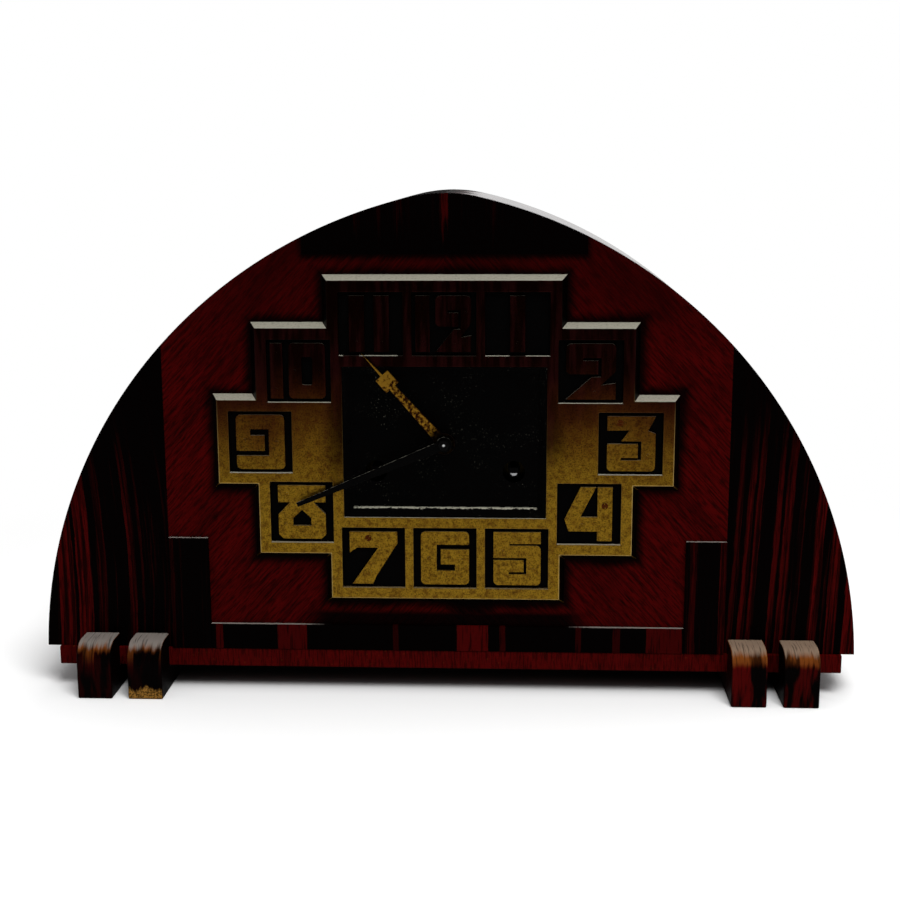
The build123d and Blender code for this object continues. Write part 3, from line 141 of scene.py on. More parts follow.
class ClockColours(bpy.types.PropertyGroup):
    """Colours of the finishes."""

    field_red: colour_of("Field red", "Red of the book-matched fields", (0.048, 0.0009, 0.0009))
    field_dark: colour_of("Field dark", "Dark streaks of the fields", (0.009, 0.0003, 0.0003))
    stripe_red: colour_of("Stripe red", "Red lines of the striped veneer", (0.05, 0.0013, 0.0012))
    stripe_dark: colour_of("Stripe dark", "Black bands of the striped veneer", (0.0006, 0.0002, 0.0002))
    # Painted highlight on up-facing wood: tops of the posts, the rail and the left feet
    highlight_wood: colour_of("Worn wood", "Pale wood where the top edges are worn", (0.17, 0.15, 0.135))
    # Real warm flecks and bare streaks, and also the painted highlight on the rounding of the feet
    amber_wood: colour_of("Amber wood", "Warm wood under the worn rounding of the feet", (0.14, 0.04, 0.007))
    # Painted highlight on the tops of the right feet
    foot_top_highlight: colour_of("Pale foot", "Bleached wood on top of the feet", (0.19, 0.133, 0.094))
    raw_wood: colour_of("Raw wood", "Bare wood where a foot is chipped", (0.27, 0.13, 0.025))
    brass: colour_of("Brass", "Aged brass of the dial", (0.19, 0.106, 0.0085))
    hand_gold: colour_of("Hand gold", "Brass of the hour hand", (0.24, 0.125, 0.012))
    # Brown and dark brass: real tarnish in the mottle and specks, and also the painted reflection that
    # darkens the dial towards the top
    brass_brown: colour_of("Brown brass", "Brown tarnish of the brass", (0.055, 0.0135, 0.0028))
    brass_dark: colour_of("Dark brass", "Darkest tarnish of the brass", (0.0055, 0.0009, 0.001))
    # Painted highlight on the brass edges
    brass_highlight: colour_of("Bright brass", "Polished rims of the brass", (0.36, 0.25, 0.08))
    # Pale painted highlight on the brass edges, on the tray's floor edge and grit, and on the minute hand
    pale_highlight: colour_of("Worn brass", "Pale rubbed top edges of the brass", (0.26, 0.25, 0.2))
    black_paint: colour_of("Black paint", "Black of the dial ground and tray", (0.0005, 0.0004, 0.0004))
    plain_wood: colour_of("Plain wood", "Bare wood of the back and the inside", (0.2, 0.115, 0.055))
    gear_brass: colour_of("Gear brass", "Brass of the movement", (0.55, 0.38, 0.12))
    steel: colour_of("Steel", "Steel of the arbors and screws", (0.42, 0.42, 0.43))


# Node helpers


def fill(tree, node, sockets):
    """Gives the sockets of a node values or other sockets."""
    for key, value in sockets.items():
        if isinstance(value, bpy.types.NodeSocket):
            tree.links.new(value, node.inputs[key])
        else:
            node.inputs[key].default_value = value


def put(tree, kind, sockets=None, **settings):
    """A node with its settings, whose sockets take values or other sockets."""
    made = tree.nodes.new(kind)
    for key, value in settings.items():
        setattr(made, key, value)
    fill(tree, made, sockets or {})
    return made


def calc(tree, operation, first, second=0.0):
    """Result of one sum on two values."""
    return put(tree, "ShaderNodeMath", {0: first, 1: second}, operation=operation).outputs[0]


def times(tree, first, second):
    """Product of two values."""
    return calc(tree, "MULTIPLY", first, second)


def plus(tree, first, second):
    """Sum of two values."""
    return calc(tree, "ADD", first, second)


def minus(tree, first, second):
    """Difference of two values."""
    return calc(tree, "SUBTRACT", first, second)


def spread(tree, value, low, high, start=0.0, end=1.0):
    """Value carried smoothly from one range to another and held at its ends."""
    sockets = {"Value": value, "From Min": low, "From Max": high, "To Min": start, "To Max": end}
    return put(tree, "ShaderNodeMapRange", sockets, interpolation_type="SMOOTHSTEP").outputs[0]


def fading(tree, value, low, high, start=1.0):
    """Value carried smoothly down to nothing."""
    return spread(tree, value, low, high, start, 0.0)


def uneven(tree, noise, start, end):
    """Noise carried from its usual range to another."""
    return spread(tree, noise, 0.3, 0.7, start, end)


def wavering(tree, value, noise, reach):
    """Value that a noise shifts to both sides."""
    return plus(tree, value, times(tree, minus(tree, noise, 0.5), reach))


def shaded(colour, share):
    """Colour made darker or lighter."""
    return tuple(channel * share for channel in colour)


def mixed(tree, share, first, second):
    """Colour between two colours."""
    made = put(tree, "ShaderNodeMix", {0: share}, data_type="RGBA", clamp_factor=True)
    for index, value in ((6, first), (7, second)):
        linked = isinstance(value, bpy.types.NodeSocket)
        fill(tree, made, {index: value if linked else (*value, 1.0)})
    return made.outputs[2]


def grain(tree, vector, scale, detail=3.0, roughness=0.55):
    """Noise along a vector, as a value about one half."""
    sockets = {"Vector": vector, "Scale": scale, "Detail": detail, "Roughness": roughness}
    return put(tree, "ShaderNodeTexNoise", sockets).outputs["Fac"]


def axes(tree, vector):
    """The three parts of a vector."""
    return put(tree, "ShaderNodeSeparateXYZ", {0: vector}).outputs


def joined(tree, x, y, z):
    """A vector of three parts."""
    return put(tree, "ShaderNodeCombineXYZ", {0: x, 1: y, 2: z}).outputs[0]


def length_of(tree, vector):
    """Length of a vector."""
    return put(tree, "ShaderNodeVectorMath", {0: vector}, operation="LENGTH").outputs["Value"]


def away(tree, x, z, axis):
    """Distance from an axis that runs from front to back."""
    return length_of(tree, joined(tree, minus(tree, x, axis.x), 0.0, minus(tree, z, axis.z)))


def fibre(tree, across, along, fine, long, seed=0.0, detail=2.0, roughness=0.55):
    """Noise that is close across the grain and drawn out along it."""
    vector = joined(tree, times(tree, across, fine), seed, times(tree, along, long))
    return grain(tree, vector, 1.0, detail, roughness)


def stretches(tree, value, spans, margin=0.002):
    """Strength of the listed stretches of a value, nothing between them."""
    low, high = spans[0][0] - margin, spans[-1][1] + margin
    sockets = {"Value": value, "From Min": low, "From Max": high}
    share = put(tree, "ShaderNodeMapRange", sockets).outputs[0]
    ramp = put(tree, "ShaderNodeValToRGB", {0: share})
    ramp.color_ramp.interpolation = "CONSTANT"
    stops = ramp.color_ramp.elements
    stops.remove(stops[1])
    stops[0].position = 0.0
    stops[0].color = (0.0, 0.0, 0.0, 1.0)
    for start, end, strength in spans:
        for edge, level in ((start, strength), (end, 0.0)):
            stops.new((edge - low) / (high - low)).color = (level, level, level, 1.0)
    return ramp.outputs[0]


def place(tree):
    """Object coordinates of the piece."""
    return put(tree, "ShaderNodeTexCoord").outputs["Object"]


def facing(tree):
    """The three parts of the piece's own normal."""
    return axes(tree, put(tree, "ShaderNodeTexCoord").outputs["Normal"])


def finish_of(name):
    """A new finish with its tree and its surface shader."""
    finish = bpy.data.materials.new(name)
    finish.use_nodes = True
    tree = finish.node_tree
    tree.nodes.clear()
    surface = put(tree, "ShaderNodeBsdfPrincipled")
    out = put(tree, "ShaderNodeOutputMaterial")
    tree.links.new(surface.outputs[0], out.inputs[0])
    return finish, tree, surface


def dress(tree, surface, colour, roughness, height, depth=0.0001, strength=0.3, gloss=wood_gloss, metal=0.0):
    """Gives a surface its colour, roughness, relief, gloss and metal share."""
    fill(tree, surface, {"Base Color": colour, "Roughness": roughness, "Metallic": metal})
    surface.inputs["Specular IOR Level"].default_value = gloss
    bump = put(tree, "ShaderNodeBump", {"Strength": strength, "Distance": depth, "Height": height})
    tree.links.new(bump.outputs[0], surface.inputs["Normal"])


# Finishes


def off_dial(tree, across, z):
    """How far a place on the front lies outside the stepped outline of the dial."""
    up = calc(tree, "ABSOLUTE", minus(tree, z, dial_middle.z))
    nearest = 1.0
    for half_width, half_height in dial_blocks:
        beside, above = minus(tree, across, half_width), minus(tree, up, half_height)
        nearest = calc(tree, "MINIMUM", calc(tree, "MAXIMUM", beside, above), nearest)
    return nearest


def red_field(colours):
    """Dark red veneer with fine slanting grain from both sides, with painted shade round and below the dial
    and darker just below the crown.
    """
    finish, tree, surface = finish_of("red_field_veneer")
    x, _, z = axes(tree, place(tree))
    across = calc(tree, "ABSOLUTE", x)
    side = calc(tree, "SIGN", x)
    turn = radians(48)
    along = minus(tree, times(tree, z, sin(turn)), times(tree, across, cos(turn)))
    over = plus(tree, times(tree, z, cos(turn)), times(tree, across, sin(turn)))
    ribbon = fibre(tree, over, along, 45.0, 5.0, side, 3.0)
    lines = fibre(tree, over, along, 620.0, 30.0, side, 3.0, 0.7)
    pores = fibre(tree, over, along, 1500.0, 130.0, plus(tree, side, 3.0), 2.0)
    cloud = grain(tree, place(tree), 20.0, 2.0)
    tone = mixed(tree, spread(tree, ribbon, 0.28, 0.56, start=0.6), colours.field_dark, colours.field_red)
    tone = mixed(tree, spread(tree, lines, 0.42, 0.64, end=0.78), tone, colours.field_dark)
    tone = mixed(tree, spread(tree, pores, 0.48, 0.62, end=0.64), tone, colours.stripe_dark)
    tone = mixed(tree, spread(tree, cloud, 0.5, 0.75, end=0.5), tone, colours.field_dark)
    tone = mixed(tree, spread(tree, z, 0.165, 0.24, end=0.62), tone, colours.field_dark)
    # Painted shade round the dial's stepped outline, standing in for the frame's contact shadow
    ragged = plus(tree, times(tree, cloud, 0.008), times(tree, lines, 0.005))
    dial_shade_reach = minus(tree, off_dial(tree, across, z), minus(tree, ragged, 0.0065))
    tone = mixed(tree, fading(tree, dial_shade_reach, 0.0005, 0.0065, 0.92), tone, colours.stripe_dark)
    height = wavering(tree, z, lines, 0.004)
    # Painted shadow below the dial: a band over the middle down to the rail and a patch under the dial's
    # middle
    under = times(tree, fading(tree, height, 0.0435, 0.0475), fading(tree, across, 0.066, 0.085, 0.95))
    middle = calc(tree, "ABSOLUTE", minus(tree, x, 0.014))
    shade_below_dial_middle = times(tree, fading(tree, z, 0.05, 0.06), fading(tree, middle, 0.006, 0.02, 0.85))
    tone = mixed(tree, calc(tree, "MAXIMUM", under, shade_below_dial_middle), tone, colours.stripe_dark)
    # Darker just below the crown's lower edge
    darker_below_crown = spread(tree, height, crown_low.z - 0.0045, crown_low.z - 0.0005, end=0.92)
    darker_below_crown = times(tree, darker_below_crown, fading(tree, across, crown_high.x - 0.001, crown_high.x + 0.0045))
    tone = mixed(tree, darker_below_crown, tone, colours.stripe_dark)
    relief = plus(tree, pores, times(tree, lines, 0.5))
    dress(tree, surface, tone, uneven(tree, pores, 0.45, 0.65), relief, depth=0.00012, strength=0.35)
    return finish


def striped(name, colours, spans, lean=0.0, bow=0.0, fade=None, foot=None, worn=0.0, seed=0.0, faint=0.2):
    """Black veneer with upright red lines that lean, die out where asked and get a pale painted highlight on
    top where asked.
    """
    finish, tree, surface = finish_of(name)
    x, y, z = axes(tree, place(tree))
    sheet_foot = 0.06
    rise = minus(tree, z, sheet_foot)
    slope = plus(tree, times(tree, rise, lean), times(tree, times(tree, rise, rise), bow))
    across = minus(tree, x, times(tree, calc(tree, "SIGN", x), slope))
    wander = fibre(tree, across, z, 20.0, 6.0, seed)
    ragged = fibre(tree, across, z, 900.0, 60.0, seed + 1.0, 3.0)
    shifted = wavering(tree, wavering(tree, across, wander, 0.004), ragged, 0.0018)
    fine = fibre(tree, shifted, z, 620.0, 9.0, seed + 3.0)
    pores = fibre(tree, across, z, 1700.0, 90.0, seed)
    red = times(tree, stretches(tree, shifted, spans), spread(tree, fine, 0.38, 0.6, start=0.12))
    red = calc(tree, "MAXIMUM", red, spread(tree, fine, 0.56, 0.72, end=faint))
    height = wavering(tree, z, ragged, 0.05)
    if fade is not None:
        red = times(tree, red, spread(tree, height, fade[0], fade[1], 1.0, 0.02))
    if foot is not None:
        red = times(tree, red, spread(tree, height, foot[0], foot[1]))
    tone = mixed(tree, red, colours.stripe_dark, colours.stripe_red)
    tone = mixed(tree, spread(tree, pores, 0.5, 0.66, end=0.7), tone, colours.stripe_dark)
    # Painted highlight on up-facing faces, broken by specks
    if worn:
        speck = spread(tree, fibre(tree, x, y, 500.0, 500.0, seed), 0.36, 0.5, start=0.45)
        rubbed = times(tree, spread(tree, facing(tree)[2], 0.75, 0.95, end=worn), speck)
        tone = mixed(tree, rubbed, tone, colours.highlight_wood)
    dress(tree, surface, tone, uneven(tree, pores, 0.42, 0.6), pores)
    return finish


def plinth_wood(colours):
    """Red wood cross-banded with fine upright lines and pale flecks."""
    finish, tree, surface = finish_of("plinth_wood")
    x, _, z = axes(tree, place(tree))
    broad = fibre(tree, x, z, 60.0, 5.0, 0.0, 3.0)
    lines = fibre(tree, x, z, 1300.0, 110.0, 1.0)
    fleck = fibre(tree, x, z, 1100.0, 500.0, 2.0)
    tone = mixed(tree, spread(tree, broad, 0.3, 0.52, start=0.55), colours.field_dark, colours.stripe_red)
    tone = mixed(tree, spread(tree, lines, 0.46, 0.62, end=0.62), tone, colours.stripe_dark)
    tone = mixed(tree, spread(tree, fleck, 0.64, 0.74, end=0.3), tone, colours.amber_wood)
    dress(tree, surface, tone, 0.55, lines)
    return finish


def rail_wood(colours):
    """Rail veneered in black and red blocks, with a painted highlight on its top edge towards the ends, left
    out where the dial's shadow falls.
    """
    finish, tree, surface = finish_of("rail_wood")
    x, _, z = axes(tree, place(tree))
    ragged = fibre(tree, x, z, 700.0, 60.0, 5.0)
    shifted = wavering(tree, x, ragged, 0.0016)
    blocks = stretches(tree, shifted, rail_blocks)
    lines = fibre(tree, x, z, 900.0, 60.0, 2.0)
    tone = mixed(tree, blocks, colours.stripe_dark, colours.stripe_red)
    tone = mixed(tree, spread(tree, lines, 0.5, 0.64, end=0.7), tone, colours.stripe_dark)
    # Painted highlight on the up-facing top edge towards the ends, left out over the middle for the dial's
    # shadow
    ends = spread(tree, plus(tree, calc(tree, "ABSOLUTE", x), times(tree, ragged, 0.02)), 0.075, 0.095)
    tone = mixed(tree, times(tree, ends, spread(tree, facing(tree)[2], 0.75, 0.95)), tone, colours.highlight_wood)
    dress(tree, surface, tone, 0.55, lines)
    return finish


def foot_wood(name, colours, pale, redness, turn, streaks=(), chip=0.0):
    """Striped wood with painted shade on its sides, whose rounding turns amber and then pale from a given
    slope up as a painted highlight from above.
    """
    finish, tree, surface = finish_of(name)
    x, y, z = axes(tree, place(tree))
    nx, ny, nz = facing(tree)
    wander = fibre(tree, x, z, 30.0, 25.0)
    across = wavering(tree, x, wander, 0.006)
    broad = fibre(tree, across, z, 150.0, 30.0, 7.0, 3.0)
    lines = fibre(tree, across, plus(tree, z, y), 1100.0, 60.0, 1.0)
    runs = fibre(tree, across, plus(tree, z, y), 420.0, 18.0, 4.0, 3.0)
    # Painted shade: the red dies down on the side faces
    front = spread(tree, calc(tree, "ABSOLUTE", nx), 0.5, 0.8, redness, redness * 0.12)
    red = times(tree, spread(tree, broad, 0.45, 0.58), front)
    tone = mixed(tree, red, colours.stripe_dark, colours.stripe_red)
    # Painted highlight: the up-facing rounding turns amber, alongside real bare streaks in amber
    up = wavering(tree, nz, runs, 0.7)
    amber = times(tree, spread(tree, up, turn, turn + 0.35), spread(tree, broad, 0.38, 0.54, start=0.15))
    if streaks:
        bare = times(tree, stretches(tree, across, streaks), spread(tree, z, 0.01, 0.028))
        bare = times(tree, bare, spread(tree, runs, 0.38, 0.56, start=0.15))
        amber = calc(tree, "MAXIMUM", amber, times(tree, bare, fading(tree, ny, -0.75, -0.45)))
    warm = mixed(tree, spread(tree, z, 0.017, 0.03), colours.stripe_red, colours.amber_wood)
    tone = mixed(tree, amber, tone, warm)
    if chip:
        scallop = fibre(tree, x, y, 330.0, 330.0, 3.0, 2.0)
        low = fading(tree, minus(tree, z, times(tree, scallop, chip)), 0.0, 0.0025)
        chipped = times(tree, low, fading(tree, ny, -0.8, -0.6))
        crumbs = spread(tree, grain(tree, place(tree), 900.0, 3.0), 0.38, 0.62, start=0.2)
        tone = mixed(tree, times(tree, chipped, crumbs), tone, colours.raw_wood)
    # Pale painted highlight on the top of the foot
    tone = mixed(tree, spread(tree, up, 0.62, 0.95, end=0.95), tone, pale)
    tone = mixed(tree, spread(tree, lines, 0.52, 0.68, end=0.6), tone, colours.stripe_dark)
    dress(tree, surface, tone, uneven(tree, lines, 0.4, 0.6), lines, gloss=0.01)
    return finish


def case_wood(name, colours, gloss):
    """Dark polished wood of the bent case, its grain running round the arch, dull along the ridge and
    darkened there with painted shade.
    """
    finish, tree, surface = finish_of(name)
    x, y, z = axes(tree, place(tree))
    round_arch = plus(tree, x, times(tree, z, 0.6))
    broad = fibre(tree, y, round_arch, 110.0, 4.0, 0.0, 3.0)
    lines = fibre(tree, y, round_arch, 900.0, 40.0, 1.0)
    tone = mixed(tree, spread(tree, broad, 0.45, 0.6), colours.stripe_dark, colours.stripe_red)
    tone = mixed(tree, spread(tree, lines, 0.5, 0.66, end=0.6), tone, colours.stripe_dark)
    drift = wavering(tree, x, broad, 0.03)
    # Painted shade along the ridge, which is also made rougher
    ridge = times(tree, spread(tree, drift, -0.055, -0.02), fading(tree, drift, 0.004, 0.018))
    tone = mixed(tree, ridge, tone, colours.stripe_dark)
    rough = plus(tree, uneven(tree, lines, 0.12, 0.2), times(tree, ridge, 0.7))
    dress(tree, surface, tone, rough, lines, strength=0.12, gloss=gloss)
    surface.inputs["Specular Tint"].default_value = (1.0, 0.92, 0.87, 1.0)
    return finish


def bare_wood(colours):
    """Plain wood of the back and the inside with upright grain."""
    finish, tree, surface = finish_of("bare_wood")
    x, y, z = axes(tree, place(tree))
    wander = fibre(tree, x, z, 10.0, 5.0)
    across = plus(tree, plus(tree, x, times(tree, y, 0.3)), times(tree, wander, 0.03))
    rings = fibre(tree, across, z, 90.0, 2.0, 0.0, 4.0)
    lines = fibre(tree, across, z, 800.0, 30.0, 1.0)
    dark = shaded(colours.plain_wood, 0.45)
    tone = mixed(tree, spread(tree, rings, 0.35, 0.62), dark, colours.plain_wood)
    tone = mixed(tree, spread(tree, lines, 0.55, 0.7, end=0.5), tone, dark)
    dress(tree, surface, tone, 0.6, lines, depth=0.00012, strength=0.4, gloss=0.25)
    return finish


def dial_brass(name, colours, rise, pale, framing):
    """Aged brass going brown and then black towards the top as a painted reflection, with painted shade on
    side and lower faces and painted highlights on its edges, pale on the upper ones.
    """
    finish, tree, surface = finish_of(name)
    spot = place(tree)
    x, y, z = axes(tree, spot)
    nx, ny, nz = facing(tree)
    across = calc(tree, "ABSOLUTE", x)
    cloud = grain(tree, spot, 30.0, 4.0, 0.6)
    mottle = grain(tree, spot, 330.0, 4.0, 0.65)
    speck = grain(tree, spot, 1200.0, 3.0, 0.7)
    streak = fibre(tree, x, z, 240.0, 25.0, 6.0, 3.0)
    brushed = fibre(tree, z, x, 1500.0, 60.0)
    height = wavering(tree, z, cloud, 0.04)
    level = dial_middle.z + rise
    tone = mixed(tree, spread(tree, mottle, 0.42, 0.7, end=0.6), colours.brass, colours.brass_brown)
    # Painted reflection of the dim room: the brass goes brown and then near black towards the top, and on
    # the frame beside the tray as well
    tone = mixed(tree, spread(tree, height, level - 0.035, level + 0.025), tone, colours.brass_brown)
    tone = mixed(tree, spread(tree, speck, 0.45, 0.66, end=0.66), tone, colours.brass_dark)
    dark = spread(tree, height, level - 0.005, level + 0.042, end=0.95)
    if framing:
        beside = fading(tree, across, 0.056, 0.072, 0.8)
        beside = times(tree, beside, spread(tree, height, level - 0.03, level))
        dark = calc(tree, "MAXIMUM", dark, beside)
        low, high = -0.72, -0.6
        off = off_dial(tree, across, z)
        outer = spread(tree, off, -0.0056, -0.0042, start=0.15)
        outer = times(tree, outer, fading(tree, off, -0.0024, -0.0014))
    else:
        low, high = -0.5, -0.25
        outer = 1.0
    deep = shaded(colours.brass_dark, 0.4)
    russet = shaded(colours.brass_dark, 2.6)
    tone = mixed(tree, dark, tone, mixed(tree, spread(tree, streak, 0.42, 0.64), deep, russet))
    # Painted shade on faces that look sideways and down
    shaded_walls = calc(tree, "MAXIMUM", calc(tree, "ABSOLUTE", nx), times(tree, nz, -1.0))
    tone = mixed(tree, spread(tree, shaded_walls, 0.66, 0.8, end=0.97), tone, colours.black_paint)
    # Painted highlight along edges that turn a little off the front, fading towards the top
    edge_highlight = times(tree, spread(tree, ny, -0.99, -0.94), fading(tree, ny, low, high))
    edge_highlight = times(tree, times(tree, edge_highlight, outer), fading(tree, height, level - 0.02, level + 0.035, 0.7))
    tone = mixed(tree, edge_highlight, tone, colours.brass_highlight)
    # Pale painted highlight on up-facing edges, broken in places and kept on the top row's sill only over
    # the listed stretches
    broken = spread(tree, fibre(tree, x, plus(tree, y, z), 700.0, 900.0, 2.0), 0.3, 0.55, start=0.7)
    worn = stretches(tree, x, sill_highlight_stretches)
    sill_without_highlight = times(tree, stretches(tree, z, top_sill), minus(tree, 1.0, worn))
    broken = times(tree, broken, minus(tree, 1.0, sill_without_highlight))
    broken = times(tree, broken, spread(tree, z, 0.058, 0.11, start=0.3))
    rubbed = times(tree, spread(tree, nz, 0.5, 0.68, end=pale), broken)
    tone = mixed(tree, rubbed, tone, colours.pale_highlight)
    rough = uneven(tree, plus(tree, times(tree, brushed, 0.4), times(tree, mottle, 0.6)), 0.28, 0.48)
    relief = plus(tree, mottle, times(tree, brushed, 0.3))
    metal = spread(tree, rubbed, 0.0, 0.6, 1.0, 0.1)
    dress(tree, surface, tone, rough, relief, depth=0.00008, strength=0.2, gloss=0.3, metal=metal)
    return finish


def black_ground(colours):
    """Matt black paint with a fine sanded grit."""
    finish, tree, surface = finish_of("black_ground")
    spot = place(tree)
    grit = grain(tree, spot, 1500.0, 2.0, 0.6)
    cloud = grain(tree, spot, 60.0, 3.0)
    lighter = shaded(colours.black_paint, 4.0)
    tone = mixed(tree, spread(tree, grit, 0.5, 0.75, end=0.8), colours.black_paint, lighter)
    tone = mixed(tree, spread(tree, cloud, 0.5, 0.8, end=0.3), tone, lighter)
    rough = uneven(tree, grit, 0.5, 0.75)
    dress(tree, surface, tone, rough, grit, depth=0.00015, strength=0.5, gloss=paint_gloss)
    return finish


def tray_black(colours):
    """Black of the sunk tray, with a pale painted highlight along its lower floor edge and painted glints in
    the grit.
    """
    finish, tree, surface = finish_of("tray_black")
    spot = place(tree)
    x, _, z = axes(tree, spot)
    grit = grain(tree, spot, 1500.0, 2.0, 0.6)
    chips = fibre(tree, x, z, 420.0, 900.0, 0.0, 3.0, 0.7)
    # Pale painted highlight line along the lower edge of the tray floor
    floor_edge = tray_low.z + 0.0046
    off = wavering(tree, minus(tree, z, floor_edge), chips, 0.0024)
    near = fading(tree, calc(tree, "ABSOLUTE", off), 0.0003, 0.0006)
    ends = fading(tree, calc(tree, "ABSOLUTE", x), 0.0495, 0.0505)
    rubbed = times(tree, times(tree, near, ends), spread(tree, chips, 0.36, 0.5, start=0.15))
    # Painted glints scattered in the grit
    patch = spread(tree, grain(tree, spot, 45.0), 0.48, 0.62)
    glint = times(tree, spread(tree, grit, 0.66, 0.76, end=0.4), patch)
    tone = mixed(tree, glint, colours.black_paint, colours.pale_highlight)
    tone = mixed(tree, rubbed, tone, colours.pale_highlight)
    rough = uneven(tree, grit, 0.45, 0.7)
    dress(tree, surface, tone, rough, grit, depth=0.00015, strength=0.5, gloss=paint_gloss)
    return finish


def hour_brass(colours):
    """Hand brass, black round its middle, spotted along the shaft and dark on its edges."""
    finish, tree, surface = finish_of("hour_brass")
    spot = place(tree)
    x, _, z = axes(tree, spot)
    stain = grain(tree, spot, 520.0, 4.0, 0.7)
    far = away(tree, x, z, nut_middle)
    burnt = minus(tree, stain, spread(tree, far, 0.036, 0.052, 0.44, 0.58))
    tone = mixed(tree, spread(tree, burnt, -0.03, 0.09, end=0.9), colours.hand_gold, colours.brass_brown)
    tone = mixed(tree, spread(tree, burnt, 0.04, 0.12, end=0.85), tone, colours.brass_dark)
    tone = mixed(tree, fading(tree, far, 0.0065, 0.013, 0.98), tone, colours.black_paint)
    edge = spread(tree, facing(tree)[1], -0.96, -0.8, end=0.9)
    tone = mixed(tree, edge, tone, colours.brass_dark)
    dress(tree, surface, tone, uneven(tree, stain, 0.3, 0.5), stain, depth=0.00008, gloss=0.3, metal=1.0)
    return finish


def nut_metal(colours):
    """Blackened nut with a painted glint in its middle."""
    finish, tree, surface = finish_of("nut_metal")
    spot = place(tree)
    x, _, z = axes(tree, spot)
    scuff = grain(tree, spot, 800.0, 3.0)
    edge = wavering(tree, away(tree, x, z, nut_middle), scuff, 0.0006)
    # Grey of the painted glint
    bright = (0.4, 0.4, 0.4)
    tone = mixed(tree, fading(tree, edge, 0.0005, 0.0008), colours.black_paint, bright)
    dress(tree, surface, tone, uneven(tree, scuff, 0.35, 0.55), scuff, depth=0.00004, gloss=0.04)
    return finish


def hand_black(colours):
    """Blackened steel of the minute hand with a bright upper edge: a painted highlight broken by faint
    marks.
    """
    finish, tree, surface = finish_of("hand_black")
    scuff = grain(tree, place(tree), 500.0, 4.0, 0.6)
    # Painted highlight on up-facing edges, broken by faint marks
    rubbed = times(tree, spread(tree, facing(tree)[2], 0.25, 0.6, end=0.35), spread(tree, scuff, 0.46, 0.6))
    tone = mixed(tree, rubbed, colours.black_paint, colours.pale_highlight)
    dress(tree, surface, tone, uneven(tree, scuff, 0.35, 0.6), scuff, depth=0.00005, gloss=0.02)
    return finish


def machined(name, colour, darker, front_shade=0.0):
    """Worked metal with fine marks and faint stains, its front face darkened with painted shade where asked.
    """
    finish, tree, surface = finish_of(name)
    spot = place(tree)
    x, y, z = axes(tree, spot)
    stain = grain(tree, spot, 60.0, 4.0, 0.6)
    marks = fibre(tree, x, plus(tree, y, z), 1600.0, 90.0)
    deep = shaded(colour, darker)
    tone = mixed(tree, spread(tree, stain, 0.45, 0.75, end=0.7), tuple(colour), deep)
    # Painted shade on the front face
    if front_shade:
        shade_dark = shaded(colour, 0.01)
        tone = mixed(tree, fading(tree, facing(tree)[1], -0.8, -0.5, front_shade), tone, shade_dark)
    rough = uneven(tree, marks, 0.25, 0.42)
    dress(tree, surface, tone, rough, marks, depth=0.00003, strength=0.2, gloss=0.5, metal=1.0)
    return finish


def winding_steel(colours, axis):
    """Winding arbor with painted shade at its front end but for a painted glint low on the square."""
    finish, tree, surface = finish_of("winding_steel")
    spot = place(tree)
    x, y, z = axes(tree, spot)
    stain = grain(tree, spot, 300.0, 4.0, 0.6)
    # Painted glint low on the square's front face
    low = fading(tree, minus(tree, z, axis.z), -0.0007, -0.0003)
    glint = times(tree, low, fading(tree, away(tree, x, z, axis), 0.0017, 0.0021))
    glint = times(tree, glint, fading(tree, facing(tree)[1], -0.95, -0.8))
    # Painted shade over the front end, but for the glint
    front = fading(tree, y, front_plane + 0.014, front_plane + 0.02)
    shade_dark = times(tree, front, minus(tree, 1.0, glint))
    worn = shaded(colours.steel, 0.6)
    tone = mixed(tree, spread(tree, stain, 0.45, 0.7, end=0.6), tuple(colours.steel), worn)
    tone = mixed(tree, shade_dark, tone, colours.black_paint)
    metal = fading(tree, shade_dark, 0.0, 1.0, 0.9)
    rough = uneven(tree, stain, 0.3, 0.5)
    dress(tree, surface, tone, rough, stain, depth=0.00003, strength=0.2, gloss=0.02, metal=metal)
    return finish


# Pieces


def paint(finish, *nodes):
    """Gives CAD nodes a finish."""
    for name in nodes:
        mesh = frame["nodes"][name].data
        mesh.materials.clear()
        mesh.materials.append(finish)


def body_with(node):
    """Name of the body that a node belongs to."""
    for body, members in frame["record"]["behaviour"]["bodies"].items():
        if node in members:
            return body
    raise ValueError(f"no body holds {node}")


def settle(name, mesh, node, finish):
    """Puts a finished mesh in the place of a node."""
    mesh.materials.clear()
    mesh.materials.append(finish)
    piece = bpy.data.objects.new(name, mesh)
    bpy.context.scene.collection.objects.link(piece)
    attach(piece, body_with(node))
    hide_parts(node)
    return piece


def made_plain(name, holder):
    """Plain mesh of an object with its modifiers worked in; the object goes."""
    depsgraph = bpy.context.evaluated_depsgraph_get()
    mesh = bpy.data.meshes.new_from_object(holder.evaluated_get(depsgraph))
    mesh.name = name
    bpy.data.objects.remove(holder)
    return mesh


def softened_point(form, reach=0.02, drop=0.0016, cuts=10, skin=0.0003):
    """Rounds the point of the arch over a short reach to both sides."""
    for index in range(-cuts, cuts + 1):
        geometry = form.verts[:] + form.edges[:] + form.faces[:]
        spot = (reach * index / cuts, 0.0, 0.0)
        bmesh.ops.bisect_plane(form, geom=geometry, plane_co=spot, plane_no=(1.0, 0.0, 0.0), dist=1e-6)
    rows = {}
    for vert in form.verts:
        if abs(vert.co.x) < reach:
            rows.setdefault(round(vert.co.x, 5), []).append(vert)
    for x, row in rows.items():
        top = max(vert.co.z for vert in row)
        for vert in row:
            if vert.co.z > top - skin:
                vert.co.z -= drop * (1.0 - abs(x) / reach) ** 2


